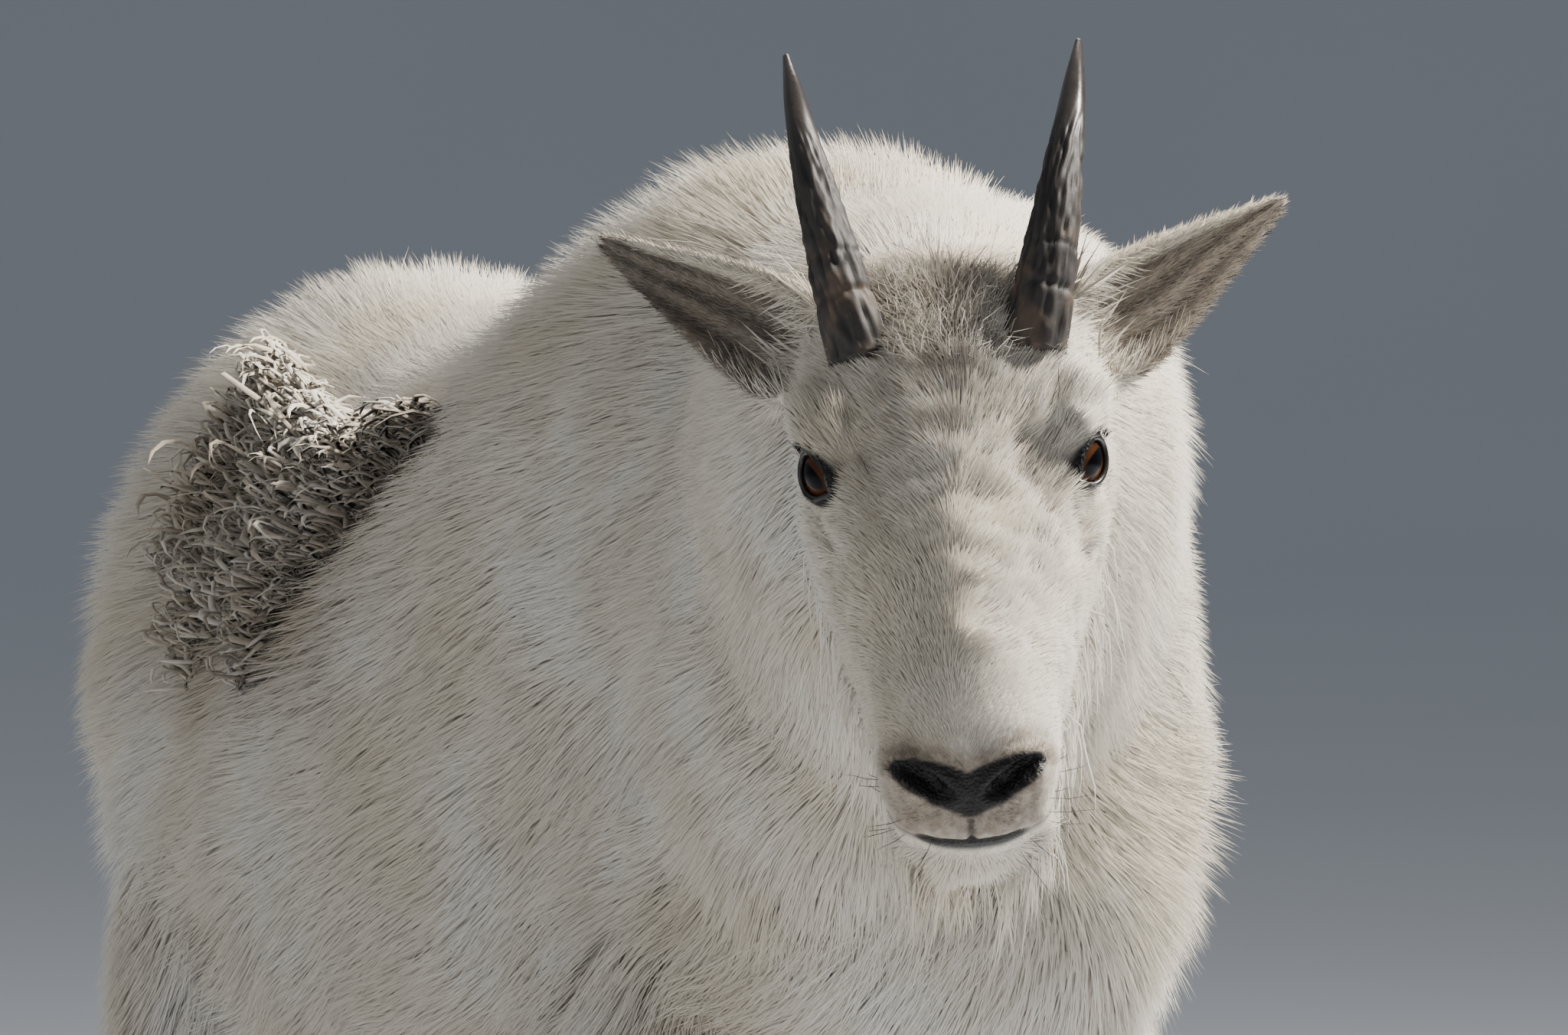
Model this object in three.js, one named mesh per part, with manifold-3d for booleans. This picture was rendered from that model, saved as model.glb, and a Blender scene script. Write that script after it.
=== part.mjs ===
// A mountain goat: an adult nanny in her autumn coat, standing square on a flat floor with her
// head lowered and turned to her right. Life size, in millimetres. +Z is up, she faces -Y and her
// left side is at +X. The origin is on the floor, below the middle of her bounding box.
import * as THREE from "three";
import { mergeVertices } from "three/addons/utils/BufferGeometryUtils.js";
import Module from "manifold-3d";

const wasm = await Module();
wasm.setup();
const { Manifold } = wasm;

// Driving sizes.
const HUMP_HEIGHT = 860; // floor to the tips of the coat over the withers
const BODY_LENGTH = 840; // breast to rump, out to the coat's tips
const BODY_WIDTH = 362; // across the barrel, out to the coat's tips
const HEAD_LENGTH = 285; // back of the skull to the nose
const FACE_WIDTH = 124; // across the cheeks and brows
const HORN_LENGTH = 144; // along the curve, from the brow's hair to the tip
const HORN_BASE = 28; // across the horn where it leaves the hair
const EAR_LENGTH = 122;
const EAR_WIDTH = 52;
const EYE_RADIUS = 15.5;
const LEG_SPREAD = 92; // middle of the body to the middle of each forefoot
const KNEE_HEIGHT = 0.29 * HUMP_HEIGHT;
const HOCK_HEIGHT = 0.33 * HUMP_HEIGHT;
const HOOF_HEIGHT = 44;
const HOOF_LENGTH = 64;
const TOE_WIDTH = 24;
const GAP = 0.3; // kept between touching pieces

// The head's pose: where the back of the skull is, and how far it turns, dips and tips.
const SKULL_PLACE = new THREE.Vector3(-100, -516, 787);
const HEAD_TURN = THREE.MathUtils.degToRad(-26);
const HEAD_DIP = THREE.MathUtils.degToRad(41);
const HEAD_TIP = THREE.MathUtils.degToRad(-3);

const COAT_WHITE = new THREE.MeshStandardMaterial({ color: 0xe6dfd0, roughness: 0.95 });
const FACE_WHITE = new THREE.MeshStandardMaterial({ color: 0xe3dcce, roughness: 0.9 });
const EAR_BUFF = new THREE.MeshStandardMaterial({ color: 0xcfc1ae, roughness: 0.9 });
const HORN_BLACK = new THREE.MeshStandardMaterial({ color: 0x2e2925, roughness: 0.55 });
const HOOF_BLACK = new THREE.MeshStandardMaterial({ color: 0x29241f, roughness: 0.6 });
const EYE_BROWN = new THREE.MeshStandardMaterial({ color: 0x3a1e0e, roughness: 0.08 });

const vec = (x, y, z) => new THREE.Vector3(x, y, z);

function catmullRom(a, b, c, d, f) {
  const f2 = f * f;
  const f3 = f2 * f;
  return 0.5 * (2 * b + (c - a) * f + (2 * a - 5 * b + 4 * c - d) * f2 + (3 * b - a - 3 * c + d) * f3);
}

// The row of numbers at share t of a list of rows, on a smooth curve through them.
function rowAt(rows, t) {
  const at = THREE.MathUtils.clamp(t, 0, 1) * (rows.length - 1);
  const first = Math.min(Math.floor(at), rows.length - 2);
  const near = [-1, 0, 1, 2].map((k) => rows[THREE.MathUtils.clamp(first + k, 0, rows.length - 1)]);
  return rows[0].map((_, k) => catmullRom(near[0][k], near[1][k], near[2][k], near[3][k], at - first));
}

// A solid from any closed geometry, turned the right way out.
function solidOf(geometry) {
  const bare = new THREE.BufferGeometry();
  bare.setAttribute("position", geometry.getAttribute("position"));
  bare.setIndex(geometry.getIndex());
  const merged = mergeVertices(bare, 1e-4);
  const triVerts = new Uint32Array(merged.index.array);
  const vertProperties = new Float32Array(merged.attributes.position.array);
  const made = new Manifold(new wasm.Mesh({ numProp: 3, vertProperties, triVerts }));
  if (made.volume() > 0) return made;
  for (let i = 0; i < triVerts.length; i += 3) [triVerts[i], triVerts[i + 1]] = [triVerts[i + 1], triVerts[i]];
  return new Manifold(new wasm.Mesh({ numProp: 3, vertProperties, triVerts }));
}

// The closed surface over a stack of rings of points, each end drawn in to a point.
function stack(rings, firstTip, lastTip) {
  const sides = rings[0].length;
  const points = [...rings.flat(), firstTip, lastTip];
  const faces = [];
  for (let i = 0; i + 1 < rings.length; i++)
    for (let j = 0; j < sides; j++) {
      const k = (j + 1) % sides;
      const [a, b, c, d] = [i * sides + j, i * sides + k, (i + 1) * sides + j, (i + 1) * sides + k];
      faces.push(a, b, c, b, d, c);
    }
  const [head, tail, last] = [points.length - 2, points.length - 1, (rings.length - 1) * sides];
  for (let j = 0; j < sides; j++) {
    const k = (j + 1) % sides;
    faces.push(head, k, j, tail, last + j, last + k);
  }
  const geometry = new THREE.BufferGeometry().setFromPoints(points);
  geometry.setIndex(faces);
  return solidOf(geometry);
}

// A form is a body part as sections along a line: each row holds the middle (x, y, z), the half
// width, the reach above and below the middle, how far it narrows upwards, and how square it is.
// Above is towards the form's up direction. The sections stand across the line, or all face the
// same way where the form has a facing.
function axesAt(form, t) {
  const step = 0.01;
  const [x, y, z, wide, above, below, narrowing, square] = rowAt(form.rows, t);
  const before = rowAt(form.rows, t - step);
  const after = rowAt(form.rows, t + step);
  const heading = vec(after[0] - before[0], after[1] - before[1], after[2] - before[2]).normalize();
  const along = form.facing ?? heading;
  const left = new THREE.Vector3().crossVectors(along, form.up).normalize();
  const up = new THREE.Vector3().crossVectors(left, along);
  return { middle: vec(x, y, z), along, left, up, wide, above, below, narrowing, square };
}

// A point on the form's surface, swollen by grow: angle 0 is one flank and 90 degrees the top.
function pointOn(form, t, angle, grow = 0) {
  const a = axesAt(form, t);
  const round = (v) => Math.sign(v) * Math.abs(v) ** (2 / a.square);
  const [across, high] = [round(Math.cos(angle)), round(Math.sin(angle))];
  const wide = Math.max(a.wide + grow, 1) * (1 - a.narrowing * Math.sin(angle));
  const tall = Math.max((high > 0 ? a.above : a.below) + grow, 1);
  return a.middle.addScaledVector(a.left, across * wide).addScaledVector(a.up, high * tall);
}

// How far the core of a form lies below the tips of its coat.
const coreDepth = (form, t) => (form.coat ? THREE.MathUtils.lerp(...form.coat, THREE.MathUtils.clamp(t, 0, 1)) : 0);

// The solid of a form, swollen by grow. A form with a coat gives the core below its locks.
function formSolid(form, grow = 0) {
  const rings = Array.from({ length: form.rings }, (_, i) => {
    const t = i / (form.rings - 1);
    return Array.from({ length: form.sides }, (_, j) =>
      pointOn(form, t, (2 * Math.PI * j) / form.sides, grow - coreDepth(form, t)),
    );
  });
  const [start, end] = [axesAt(form, 0), axesAt(form, 1)];
  start.middle.addScaledVector(start.along, -grow - form.cap * start.wide + coreDepth(form, 0) * (form.tuck ?? 0));
  end.middle.addScaledVector(end.along, grow + form.cap * end.wide - coreDepth(form, 1) * (form.tuck ?? 0));
  return stack(rings, start.middle, end.middle);
}

// Seeded random numbers from 0 to 1, the same on every run.
function randomFrom(seed) {
  let state = seed;
  return () => {
    state = (state + 0x6d2b79f5) | 0;
    let mixed = Math.imul(state ^ (state >>> 15), 1 | state);
    mixed = (mixed + Math.imul(mixed ^ (mixed >>> 7), 61 | mixed)) ^ mixed;
    return ((mixed ^ (mixed >>> 14)) >>> 0) / 4294967296;
  };
}

// The surface of a form at a place: the point, the way out of it, and how far a step along the
// form and a step round it reach.
function surfaceAt(form, t, angle, grow) {
  const [dt, da] = [0.01, 0.03];
  const [low, high] = [Math.max(t - dt, 0), Math.min(t + dt, 1)];
  const here = pointOn(form, t, angle, grow);
  const alongStep = pointOn(form, high, angle, grow).sub(pointOn(form, low, angle, grow)).divideScalar(high - low);
  const roundStep = pointOn(form, t, angle + da, grow).sub(pointOn(form, t, angle - da, grow)).divideScalar(2 * da);
  const out = new THREE.Vector3().crossVectors(roundStep, alongStep).normalize();
  if (out.dot(here.clone().sub(axesAt(form, t).middle)) < 0) out.negate();
  return { here, out, alongStep, roundStep };
}

// Whether a point lies inside a form that is swollen by grow.
function isInside(form, point, grow) {
  const steps = 40;
  for (let i = 0; i < steps; i++) {
    const a = axesAt(form, (i + 0.5) / steps);
    const near = axesAt(form, i / steps).middle.distanceTo(axesAt(form, (i + 1) / steps).middle);
    const off = point.clone().sub(a.middle);
    if (Math.abs(off.dot(a.along)) > near / 2 + 1) continue;
    const high = off.dot(a.up) / Math.max((off.dot(a.up) > 0 ? a.above : a.below) + grow, 1);
    const wide = Math.max(a.wide + grow, 1) * (1 - a.narrowing * THREE.MathUtils.clamp(high, -1, 1));
    if (Math.abs(off.dot(a.left) / wide) ** a.square + Math.abs(high) ** a.square < 1) return true;
  }
  return false;
}

// The places of a coat's locks on a form: rows along it, staggered, with a little seeded scatter.
// The coat gives the first and last row, the spacings along and round, and a lock's size.
function lockSpots(form, coat) {
  const random = randomFrom(coat.seed);
  const scatter = (reach) => (random() - 0.5) * 2 * reach;
  const spots = [];
  for (let i = 0; i < coat.rows; i++) {
    const t = THREE.MathUtils.lerp(coat.first, coat.last, i / (coat.rows - 1));
    const a = axesAt(form, t);
    const round = Math.PI * (a.wide + (a.above + a.below) / 2);
    const count = Math.max(coat.fewest, Math.round(round / coat.spacing));
    for (let j = 0; j < count; j++) {
      const angle = (2 * Math.PI * (j + (i % 2) / 2 + scatter(0.12))) / count;
      const size = 1 + scatter(0.15);
      const width = (0.96 * round) / count;
      spots.push({ t: t + scatter(0.006), angle, width, long: coat.long * size, sway: scatter(0.22) });
    }
  }
  return spots;
}

// A place on a form moved by a step along a direction, and how far the step runs past the end.
function stepOn(form, place, way, step) {
  const { alongStep, roundStep } = surfaceAt(form, place.t, place.angle, 0);
  const moved = place.t + (step * way.dot(alongStep)) / alongStep.lengthSq();
  const t = THREE.MathUtils.clamp(moved, 0, 1);
  const past = (Math.abs(moved - t) * Math.abs(step)) / Math.max(Math.abs(moved - place.t), 1e-6);
  return { t, angle: place.angle + (step * way.dot(roundStep)) / roundStep.lengthSq(), past: place.past + past };
}

// The solid of a lock from its rings of three points, its foot and its tip. Every face is moved
// out by room: a ring is scaled about the middle of the circle that its three sides touch.
function lockSolid(rings, foot, tip, room) {
  let inner = 1;
  const swollen = rings.map(([a, b, c]) => {
    const [la, lb, lc] = [b.distanceTo(c), c.distanceTo(a), a.distanceTo(b)];
    const rim = la + lb + lc;
    const middle = vec(0, 0, 0).addScaledVector(a, la / rim).addScaledVector(b, lb / rim).addScaledVector(c, lc / rim);
    inner = (2 * new THREE.Triangle(a, b, c).getArea()) / rim;
    return [a, b, c].map((p) => middle.clone().lerp(p, 1 + room / inner));
  });
  const centre = (ring) => ring.reduce((sum, p) => sum.add(p), vec(0, 0, 0)).divideScalar(3);
  const [first, last] = [centre(rings[0]), centre(rings[rings.length - 1])];
  const footEnd = foot.clone().addScaledVector(foot.clone().sub(first).normalize(), 2 * room);
  return stack(swollen, footEnd, last.clone().lerp(tip, 1 + room / inner));
}

// The rings of a lock: its root starts in the core, its line follows the form's surface along the
// coat's lie, and its tip ends at the coat's outline, or runs straight on past the form's end.
// Each ring is its two edges, wrapped round the form, with a ridge between them.
function coatLock(form, coat, spot, grow) {
  const depth = coreDepth(form, spot.t);
  const shares = [0, 0.34, 0.7, 1];
  const lifts = [-depth - coat.sink, -0.55 * depth - 2, -0.22 * depth - 1, 0.04 * depth].map(
    (lift, k) => lift + shares[k] * (coat.raise ?? 0),
  );
  const widths = [0, 1, 0.8];
  const thicks = [0, 1, 0.6];
  let place = { t: spot.t, angle: spot.angle, past: 0 };
  const rings = [];
  const ends = [];
  let way;
  shares.forEach((share, k) => {
    const { here, out } = surfaceAt(form, place.t, place.angle, lifts[k]);
    const aim = coat.lie.clone().projectOnPlane(out).normalize().applyAxisAngle(out, spot.sway);
    way = way ? way.clone().projectOnPlane(out).normalize().lerp(aim, 0.3).normalize() : aim;
    const beyond = (coat.hangs ? coat.lie : way).clone().setLength(place.past);
    const middle = here.add(beyond);
    const across = new THREE.Vector3().crossVectors(out, way);
    if (k === 0 || k === 3) ends.push(middle);
    else {
      const hands = Math.cos(spot.angle) < 0 ? [-1, 1] : [1, -1];
      const edges = hands.map((hand) => {
        const aside = stepOn(form, place, across, (hand * widths[k] * spot.width) / 2);
        return pointOn(form, aside.t, aside.angle, lifts[k]).add(beyond);
      });
      rings.push([edges[0], middle.clone().addScaledVector(out, thicks[k] * coat.thick), edges[1]]);
    }
    place = stepOn(form, place, way, ((shares[k + 1] ?? 1) - share) * spot.long);
  });
  return lockSolid(rings, ...ends, 2 * grow);
}

// The locks of a coat on a form, leaving out those that start where skip says, or where the form
// faces along the coat's lie.
function coatSolids(form, coat, grow = 0) {
  return lockSpots(form, coat)
    .filter((spot) => {
      const { here, out } = surfaceAt(form, spot.t, spot.angle, -coreDepth(form, spot.t));
      return !coat.skip(here) && Math.abs(out.dot(coat.lie)) < 0.85 * coat.lie.length();
    })
    .map((spot) => coatLock(form, coat, spot, grow));
}

// The torso, out to the tips of the coat. Each row here is the share of the length from the
// breast, the top and bottom as shares of the hump's height, the share of the width, the
// narrowing towards the back, which is below zero where the hump overhangs, and the squareness.
const TORSO_SHAPE = [
  [0.0, 0.7, 0.56, 0.3, 0.0, 2.1],
  [0.05, 0.8, 0.49, 0.54, -0.12, 2.1],
  [0.13, 0.935, 0.435, 0.69, -0.22, 2.3],
  [0.25, 1.0, 0.405, 0.765, -0.2, 2.4],
  [0.36, 0.98, 0.395, 0.85, -0.1, 2.4],
  [0.49, 0.935, 0.395, 0.95, 0.02, 2.2],
  [0.62, 0.91, 0.405, 0.99, 0.1, 2.1],
  [0.74, 0.92, 0.43, 0.96, 0.13, 2.1],
  [0.84, 0.93, 0.47, 0.93, 0.15, 2.1],
  [0.92, 0.905, 0.52, 0.82, 0.1, 2.1],
  [0.97, 0.85, 0.59, 0.6, 0.0, 2.1],
  [1.0, 0.79, 0.65, 0.3, 0.0, 2.1],
];
const TORSO = {
  rows: TORSO_SHAPE.map(([share, top, bottom, width, narrowing, square]) => {
    const middle = ((top + bottom) / 2) * HUMP_HEIGHT;
    const tall = ((top - bottom) / 2) * HUMP_HEIGHT;
    return [0, (share - 0.5) * BODY_LENGTH, middle, (width * BODY_WIDTH) / 2, tall, tall, narrowing, square];
  }),
  up: vec(0, 0, 1),
  facing: vec(0, 1, 0),
  rings: 17,
  sides: 20,
  cap: 0.25,
  coat: [22, 22],
  tuck: 1,
};

// The neck, from inside the back of the skull to inside the shoulders.
const NECK = {
  rows: [
    [-104, -528, 756, 62, 66, 76, 0, 2],
    [-84, -470, 728, 92, 106, 112, -0.05, 2.1],
    [-44, -392, 692, 110, 152, 142, -0.15, 2.2],
    [-6, -300, 656, 113, 186, 180, -0.22, 2.4],
    [6, -215, 626, 116, 198, 196, -0.2, 2.4],
  ],
  up: vec(0, 0, 1),
  rings: 8,
  sides: 16,
  cap: 0.1,
  coat: [8, 22],
  tuck: 0,
};

// The head in its own frame: muzzle towards -y, brow towards +z. Each row is the distance from
// the back of the skull, the middle's height, the half width, the reach up and down, the
// narrowing upwards and the squareness.
const HEAD_SHAPE = [
  [0, -8, 40, 30, 40, 0.0, 2],
  [22, -6, 53, 44, 66, 0.04, 2.2],
  [55, -2, 61, 58, 90, 0.04, 2.5],
  [90, 2, 63, 53, 100, 0.02, 2.7],
  [122, 4, 61, 43, 96, 0.0, 2.8],
  [152, 0, 53, 37, 86, 0.06, 2.8],
  [182, -6, 46, 35, 74, 0.1, 2.8],
  [212, -14, 40, 34, 63, 0.1, 2.6],
  [240, -22, 37.5, 34, 56, 0.08, 2.5],
  [262, -28, 36, 31, 54, 0.1, 2.4],
  [276, -32, 30, 24, 44, 0.1, 2.2],
  [285, -36, 17, 11, 20, 0.0, 2],
];
const HEAD = {
  rows: HEAD_SHAPE.map(([along, middle, wide, above, below, narrowing, square]) => {
    const [long, broad] = [HEAD_LENGTH / 285, FACE_WIDTH / 124];
    return [0, -along * long, middle, wide * broad, above, below, narrowing, square];
  }),
  up: vec(0, 0, 1),
  facing: vec(0, -1, 0),
  rings: 20,
  sides: 22,
  cap: 0.25,
};

// A round tube through the given points, with its radius at each.
function tubeSolid(points, radii, sides) {
  const curve = new THREE.CatmullRomCurve3(points);
  const steps = 3 * (points.length - 1);
  const frames = curve.computeFrenetFrames(steps, false);
  const rows = radii.map((radius) => [radius]);
  const rings = frames.tangents.map((_, i) =>
    Array.from({ length: sides }, (_, j) => {
      const angle = (2 * Math.PI * j) / sides;
      const [radius] = rowAt(rows, i / steps);
      return curve
        .getPoint(i / steps)
        .addScaledVector(frames.normals[i], radius * Math.cos(angle))
        .addScaledVector(frames.binormals[i], radius * Math.sin(angle));
    }),
  );
  const ends = [0, 1].map((t) => curve.getPoint(t).addScaledVector(curve.getTangent(t), (2 * t - 1) * 0.6));
  return stack(rings, ...ends);
}

// A sphere with its middle at a point, stretched by three factors.
function ballSolid(middle, radius, detail, stretch = [1, 1, 1]) {
  const geometry = new THREE.IcosahedronGeometry(radius, detail).scale(...stretch);
  return solidOf(geometry.translate(...middle.toArray()));
}

// The mouth, seen from the side: distance from the back of the skull and height. The jaw ends
// at the throat.
const MOUTH_LINE = [
  [292, -45],
  [276, -46],
  [258, -49],
  [238, -52],
  [218, -57],
];
const JAW_END = 206;

// All that lies below the mouth and ahead of the jaw's end, enlarged by grow.
function jawRegion(grow) {
  const back = JAW_END - grow;
  const outline = [...MOUTH_LINE, [JAW_END, -62]].map(([s, z]) => [s, z + grow]);
  outline.push([back, -62 + grow], [back, -140], [320, -140], [320, -45 + grow]);
  const shape = new THREE.Shape(outline.map(([s, z]) => new THREE.Vector2(s, z)));
  const geometry = new THREE.ExtrudeGeometry(shape, { depth: 120, bevelEnabled: false });
  return solidOf(geometry.translate(0, 0, -60).rotateX(Math.PI / 2).rotateZ(-Math.PI / 2));
}

// The eye, its lids and the opening between them.
const eyePlace = (side) => vec(side * 46, -124, 17);
const LID_THICK = 3.4;
function eyeOpening(side) {
  const look = vec(side * 0.84, -0.44, 0.3).normalize();
  const along = vec(side * -0.5, -0.86, 0).projectOnPlane(look).normalize();
  const across = new THREE.Vector3().crossVectors(look, along);
  const rings = [0.35, 1, 1.9].map((reach) =>
    Array.from({ length: 14 }, (_, j) => {
      const angle = (2 * Math.PI * j) / 14;
      const [c, s] = [Math.cos(angle), Math.sin(angle)];
      const size = Math.min(reach, 1.35);
      return eyePlace(side)
        .addScaledVector(look, reach * EYE_RADIUS)
        .addScaledVector(along, size * 0.86 * EYE_RADIUS * c)
        .addScaledVector(across, size * 0.62 * EYE_RADIUS * Math.sign(s) * Math.abs(s) ** 1.3);
    }),
  );
  return stack(rings, eyePlace(side), eyePlace(side).addScaledVector(look, 2.2 * EYE_RADIUS));
}

// A nostril: a comma that starts low beside the middle and curls up and back.
function nostrilSolid(side) {
  const path = [
    [8, -284, -32],
    [16, -281, -22],
    [25, -274, -14],
    [33, -262, -10],
  ].map(([x, y, z]) => vec(side * x, y, z));
  return tubeSolid(path, [2.6, 4.4, 4.6, 1.6], 8);
}

// The pieces that come in pairs are made for side +1, her left, or -1, her right.
function hornForm(side) {
  const [lean, sweep] = [THREE.MathUtils.degToRad(50), THREE.MathUtils.degToRad(54)];
  const base = vec(side * 35, -84, 44);
  const rows = [];
  const steps = 8;
  const place = base.clone();
  for (let i = 0; i <= steps; i++) {
    const share = i / steps;
    const back = lean + sweep * share;
    const out = side * THREE.MathUtils.degToRad(14 - 10 * share);
    const radius = (HORN_BASE / 2) * (1 - 0.93 * share ** 1.08) + 0.6;
    rows.push([place.x, place.y, place.z, radius, radius * 1.1, radius * 1.1, 0, 2]);
    const reach = (HORN_LENGTH + 14) / steps;
    place.add(vec(Math.sin(out), Math.sin(back) * Math.cos(out), Math.cos(back) * Math.cos(out)).multiplyScalar(reach));
  }
  return { rows, up: vec(0, 1, 0), rings: 13, sides: 10, cap: 0.5 };
}

// One ear: a cupped leaf that opens forwards, closed into a tube at its root. Swollen by grow, its
// cup is filled, as the plug that makes room for it in the head.
const EAR_SHAPE = [
  [0.0, 0.92, 0.5, 128],
  [0.12, 0.98, 0.5, 108],
  [0.3, 0.88, 0.46, 94],
  [0.5, 0.69, 0.37, 84],
  [0.7, 0.47, 0.27, 78],
  [0.86, 0.29, 0.18, 74],
  [0.96, 0.15, 0.11, 74],
];
function earSolid(side, raise, grow = 0) {
  const leaf = { rise: THREE.MathUtils.degToRad(raise), rim: 3.2, crown: 5.4 };
  const root = vec(side * 52, -50, 15);
  const along = vec(side * 0.77, 0.62, Math.sin(leaf.rise)).normalize();
  const open = vec(side * 0.1, -0.8, 0.5).projectOnPlane(along).normalize();
  const across = new THREE.Vector3().crossVectors(open, along);
  const half = 4;
  const rings = EAR_SHAPE.map(([share, width, depth, reach]) => {
    const [wide, deep] = [(width * EAR_WIDTH) / 2, depth * EAR_WIDTH * 0.5];
    const turn = THREE.MathUtils.degToRad(reach) + (1.5 * grow) / wide;
    const middle = root.clone().addScaledVector(along, share * EAR_LENGTH);
    const arc = (inward) =>
      Array.from({ length: 2 * half + 1 }, (_, k) => {
        const angle = (turn * (k - half)) / half;
        return middle
          .clone()
          .addScaledVector(across, (wide - inward) * Math.sin(angle))
          .addScaledVector(open, deep - (deep - inward) * Math.cos(angle));
      });
    const thick = Math.min(THREE.MathUtils.lerp(leaf.crown, leaf.rim, share), deep * 0.55, wide * 0.5);
    return grow > 0 ? arc(-grow) : [...arc(0), ...arc(thick).reverse()];
  });
  const tip = root.clone().addScaledVector(along, EAR_LENGTH + grow).addScaledVector(open, 3);
  const foot = root.clone().addScaledVector(along, -3 - grow).addScaledVector(open, 8);
  return stack(rings, foot, tip);
}

// An upper foreleg, out to the tips of its chaps, from inside the shoulder to the knee.
function foreUpperForm(side) {
  const x = side * LEG_SPREAD;
  return {
    rows: [
      [x - side * 24, -224, 570, 38, 76, 84, 0, 2],
      [x - side * 14, -220, 500, 52, 88, 90, 0, 2],
      [x - side * 4, -218, 420, 62, 84, 84, 0, 2],
      [x, -220, 352, 62, 70, 70, 0, 2],
      [x, -222, 295, 54, 58, 58, 0, 2],
      [x, -224, KNEE_HEIGHT + 12, 43, 47, 47, 0, 2],
    ],
    up: vec(0, -1, 0),
    facing: vec(0, 0, -1),
    rings: 7,
    sides: 12,
    cap: 0.1,
    coat: [20, 12],
    tuck: 0,
  };
}

function foreLowerForm(side) {
  const x = side * LEG_SPREAD;
  return {
    rows: [
      [x, -223, KNEE_HEIGHT + 40, 24, 27, 27, 0, 2],
      [x, -226, KNEE_HEIGHT, 26, 30, 26, 0, 2.2],
      [x, -224, KNEE_HEIGHT - 40, 20, 21, 22, 0, 2.1],
      [x, -222, 160, 17.5, 18, 20, 0, 2.1],
      [x, -223, 112, 19, 20, 22, 0, 2.1],
      [x, -225, 86, 24, 24, 27, 0, 2.1],
      [x, -232, 62, 21.5, 22, 23, 0, 2.1],
      [x, -240, 38, 25, 27, 27, 0, 2.2],
      [x, -243, 22, 23, 25, 25, 0, 2.2],
    ],
    up: vec(0, -1, 0),
    facing: vec(0, 0, -1),
    rings: 12,
    sides: 10,
    cap: 0,
  };
}

// A hind leg's thigh, out to the tips of its chaps, from inside the haunch to the hock.
function hindUpperForm(side) {
  const x = side * (LEG_SPREAD + 6);
  return {
    rows: [
      [x, 240, 560, 66, 104, 100, 0, 2],
      [x + side * 4, 236, 480, 78, 112, 112, 0, 2],
      [x + side * 2, 252, 408, 74, 92, 92, 0, 2],
      [x, 286, 346, 58, 66, 64, 0, 2],
      [x, 312, HOCK_HEIGHT + 14, 48, 52, 50, 0, 2],
      [x, 324, HOCK_HEIGHT - 12, 40, 44, 43, 0, 2],
    ],
    up: vec(0, -1, 0),
    facing: vec(0, 0, -1),
    rings: 8,
    sides: 12,
    cap: 0.1,
    coat: [20, 11],
    tuck: 0,
  };
}

function hindLowerForm(side) {
  const x = side * (LEG_SPREAD + 6);
  return {
    rows: [
      [x, 306, HOCK_HEIGHT + 34, 22, 26, 26, 0, 2],
      [x, 326, HOCK_HEIGHT - 4, 25, 30, 30, 0, 2.1],
      [x, 332, HOCK_HEIGHT - 42, 21, 25, 24, 0, 2.1],
      [x, 328, 175, 18, 20, 20, 0, 2.1],
      [x, 323, 118, 18.5, 20, 21, 0, 2.1],
      [x, 319, 88, 23.5, 24, 26, 0, 2.1],
      [x, 311, 62, 21, 22, 23, 0, 2.1],
      [x, 302, 38, 25, 27, 27, 0, 2.2],
      [x, 299, 22, 23, 25, 25, 0, 2.2],
    ],
    up: vec(0, -1, 0),
    facing: vec(0, 0, -1),
    rings: 12,
    sides: 10,
    cap: 0,
  };
}

const TAIL = {
  rows: [
    [0, 372, 742, 20, 20, 20, 0, 2],
    [0, 404, 734, 24, 20, 20, 0, 2],
    [0, 430, 700, 27, 20, 20, 0, 2],
    [0, 440, 655, 20, 15, 15, 0, 2],
    [0, 443, 618, 6, 5, 5, 0, 2],
  ],
  up: vec(0, 1, 0),
  rings: 6,
  sides: 8,
  cap: 0.4,
  coat: [9, 2],
  tuck: 0.5,
};

// One toe of a cloven hoof: a flat sole on the floor, an upright inner wall, a sloped front and
// a rounded top that fits into the foot.
function toeSolid(x, y, away, grow = 0) {
  const sides = 10;
  const levels = [
    [0, 1.0, 0],
    [0.45, 0.95, 0.03],
    [0.8, 0.86, 0.09],
    [1.0, 0.62, 0.16],
  ];
  const rings = levels.map(([high, size, back], level) =>
    Array.from({ length: sides }, (_, j) => {
      const angle = (2 * Math.PI * j) / sides;
      const [c, s] = [Math.cos(angle), Math.sin(angle)];
      const wide = (TOE_WIDTH / 2) * size * (1 - 0.34 * Math.max(0, -s) ** 2) + grow;
      const long = (HOOF_LENGTH / 2) * size + grow;
      const inner = c * away < 0 ? 0.72 : 1;
      const z = high * HOOF_HEIGHT + (high > 0.9 ? grow : 0) - (level === 0 ? grow : 0);
      return vec(x + away * (1.2 + TOE_WIDTH / 2) + c * wide * inner, y + s * long + back * HOOF_LENGTH, z);
    }),
  );
  const middle = (ring) => ring.reduce((sum, p) => sum.add(p), vec(0, 0, 0)).divideScalar(ring.length);
  return stack(rings, middle(rings[0]), middle(rings[levels.length - 1]));
}

const root = new THREE.Group();
const headGroup = new THREE.Group();
headGroup.position.copy(SKULL_PLACE);
headGroup.rotation.set(HEAD_DIP, HEAD_TIP, HEAD_TURN, "ZYX");
headGroup.updateMatrix();
root.add(headGroup);

const inBody = (solid) => solid.transform(headGroup.matrix.elements);

// Keeps only the largest closed surface of a solid.
function largest(solid) {
  return solid.decompose().sort((a, b) => b.volume() - a.volume())[0];
}

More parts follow.
